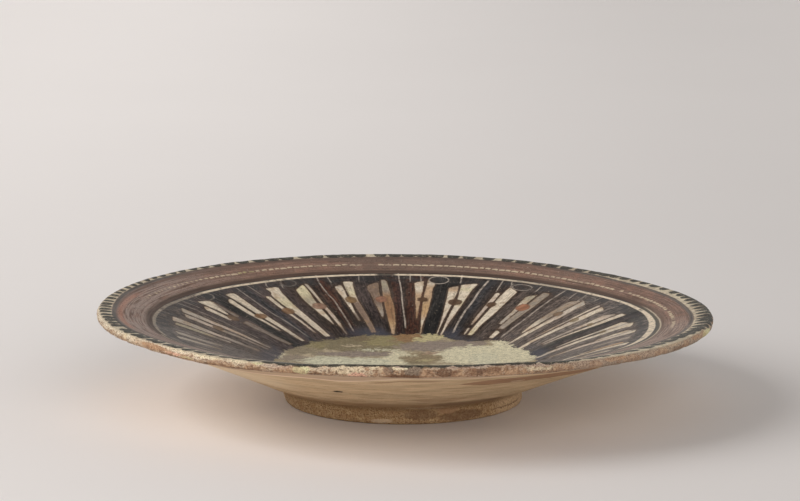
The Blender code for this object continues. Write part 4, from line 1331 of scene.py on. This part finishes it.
floor_mesh = bpy.data.meshes.new("paper")
floor_mesh.from_pydata([(-9, -6, 0), (9, -6, 0), (9, 12, 0), (-9, 12, 0)], [], [(0, 1, 2, 3)])
floor = bpy.data.objects.new("paper", floor_mesh)
bpy.context.scene.collection.objects.link(floor)
paper = bpy.data.materials.new("pale_paper")
paper.use_nodes = True
tree = paper.node_tree
shader = tree.nodes["Principled BSDF"]
floor_mesh.materials.append(paper)
position = tree.nodes.new("ShaderNodeTexCoord").outputs["Object"]
split = tree.nodes.new("ShaderNodeSeparateXYZ")
feed(split.inputs[0], position)
right, back = split.outputs[:2]
# Painted light on the paper: lighter at the left, darker at the right, a little lighter at the
# front and far back, standing for the fall-off of the light; with a faint grain
painted_light_and_grain = times(ease(right, -0.45, 0.45, 1.15, 0.83), ease(back, -0.16, 0.06, 1.04, 1.0))
painted_light_and_grain = times(painted_light_and_grain, ease(back, 0.5, 1.4, 1.0, 1.04))
painted_light_and_grain = times(painted_light_and_grain, plus(0.985, times(grain(position, 3.0, 3.0), 0.03)))

# Painted light and shade on the paper: a painted shadow in front of the dish and painted light
# under its left and right sides, as the middles and half sizes of soft patches in metres, and tones
PAINTED_LIGHT_AND_SHADOW_PATCHES = (
    ((0.0, -0.095), (0.12, 0.07), 0.90), ((-0.13, -0.02), (0.09, 0.12), 1.05),
    ((0.15, 0.05), (0.10, 0.12), 1.09),
)
for middle, half, tone in PAINTED_LIGHT_AND_SHADOW_PATCHES:
    sideways = figure("DIVIDE", plus(right, -middle[0]), half[0])
    backward = figure("DIVIDE", plus(back, -middle[1]), half[1])
    reach = figure("SQRT", plus(times(sideways, sideways), times(backward, backward)))
    painted_light_and_grain = times(painted_light_and_grain, ease(reach, 0.25, 1.0, tone, 1.0))
fibre = grain(position, 900.0, 2.0)
feed(shader.inputs["Base Color"], shade((0.765, 0.722, 0.702, 1), painted_light_and_grain))
feed(shader.inputs["Roughness"], plus(0.86, times(fibre, 0.08)))
bump = tree.nodes.new("ShaderNodeBump")
bump.inputs["Strength"].default_value = 0.2
bump.inputs["Distance"].default_value = 0.0001
feed(bump.inputs["Height"], fibre)
feed(shader.inputs["Normal"], bump.outputs[0])


def broad_sun(name, side, rise, spread, strength, colour):
    """Even light from a wide patch of the studio: the side that it comes from, its height and
    its width in degrees."""
    lamp = bpy.data.lights.new(name, "SUN")
    lamp.angle = math.radians(spread)
    lamp.energy = strength
    lamp.color = colour
    light = bpy.data.objects.new(name, lamp)
    light.rotation_euler = (0, math.radians(90 - rise), math.radians(side))
    bpy.context.scene.collection.objects.link(light)


broad_sun("key_light", 190, 34, 40, 1.80, (1.0, 0.995, 0.985))
broad_sun("fill_light", 292, 20, 50, 1.26, (1.0, 0.985, 0.965))

world = bpy.data.worlds.new("studio")
world.use_nodes = True
tree = world.node_tree
background = tree.nodes["Background"]
split = tree.nodes.new("ShaderNodeSeparateXYZ")
feed(split.inputs[0], tree.nodes.new("ShaderNodeTexCoord").outputs["Generated"])
feed(background.inputs["Color"],
     shade((1.0, 0.985, 0.965, 1), ease(split.outputs[2], 0.0, 0.75, 1.5, 0.35)))
background.inputs["Strength"].default_value = 0.74
bpy.context.scene.world = world
bpy.context.scene.view_settings.view_transform = "Standard"

camera_data = bpy.data.cameras.new("camera")
camera_data.sensor_width = 36
camera_data.lens = 137.2
camera = bpy.data.objects.new("camera", camera_data)
camera.location = (0, -1.7085, 0.3791)
camera.rotation_euler = (math.radians(90 - 9.7306), 0, math.radians(0.0975))
bpy.context.scene.collection.objects.link(camera)
bpy.context.scene.camera = camera
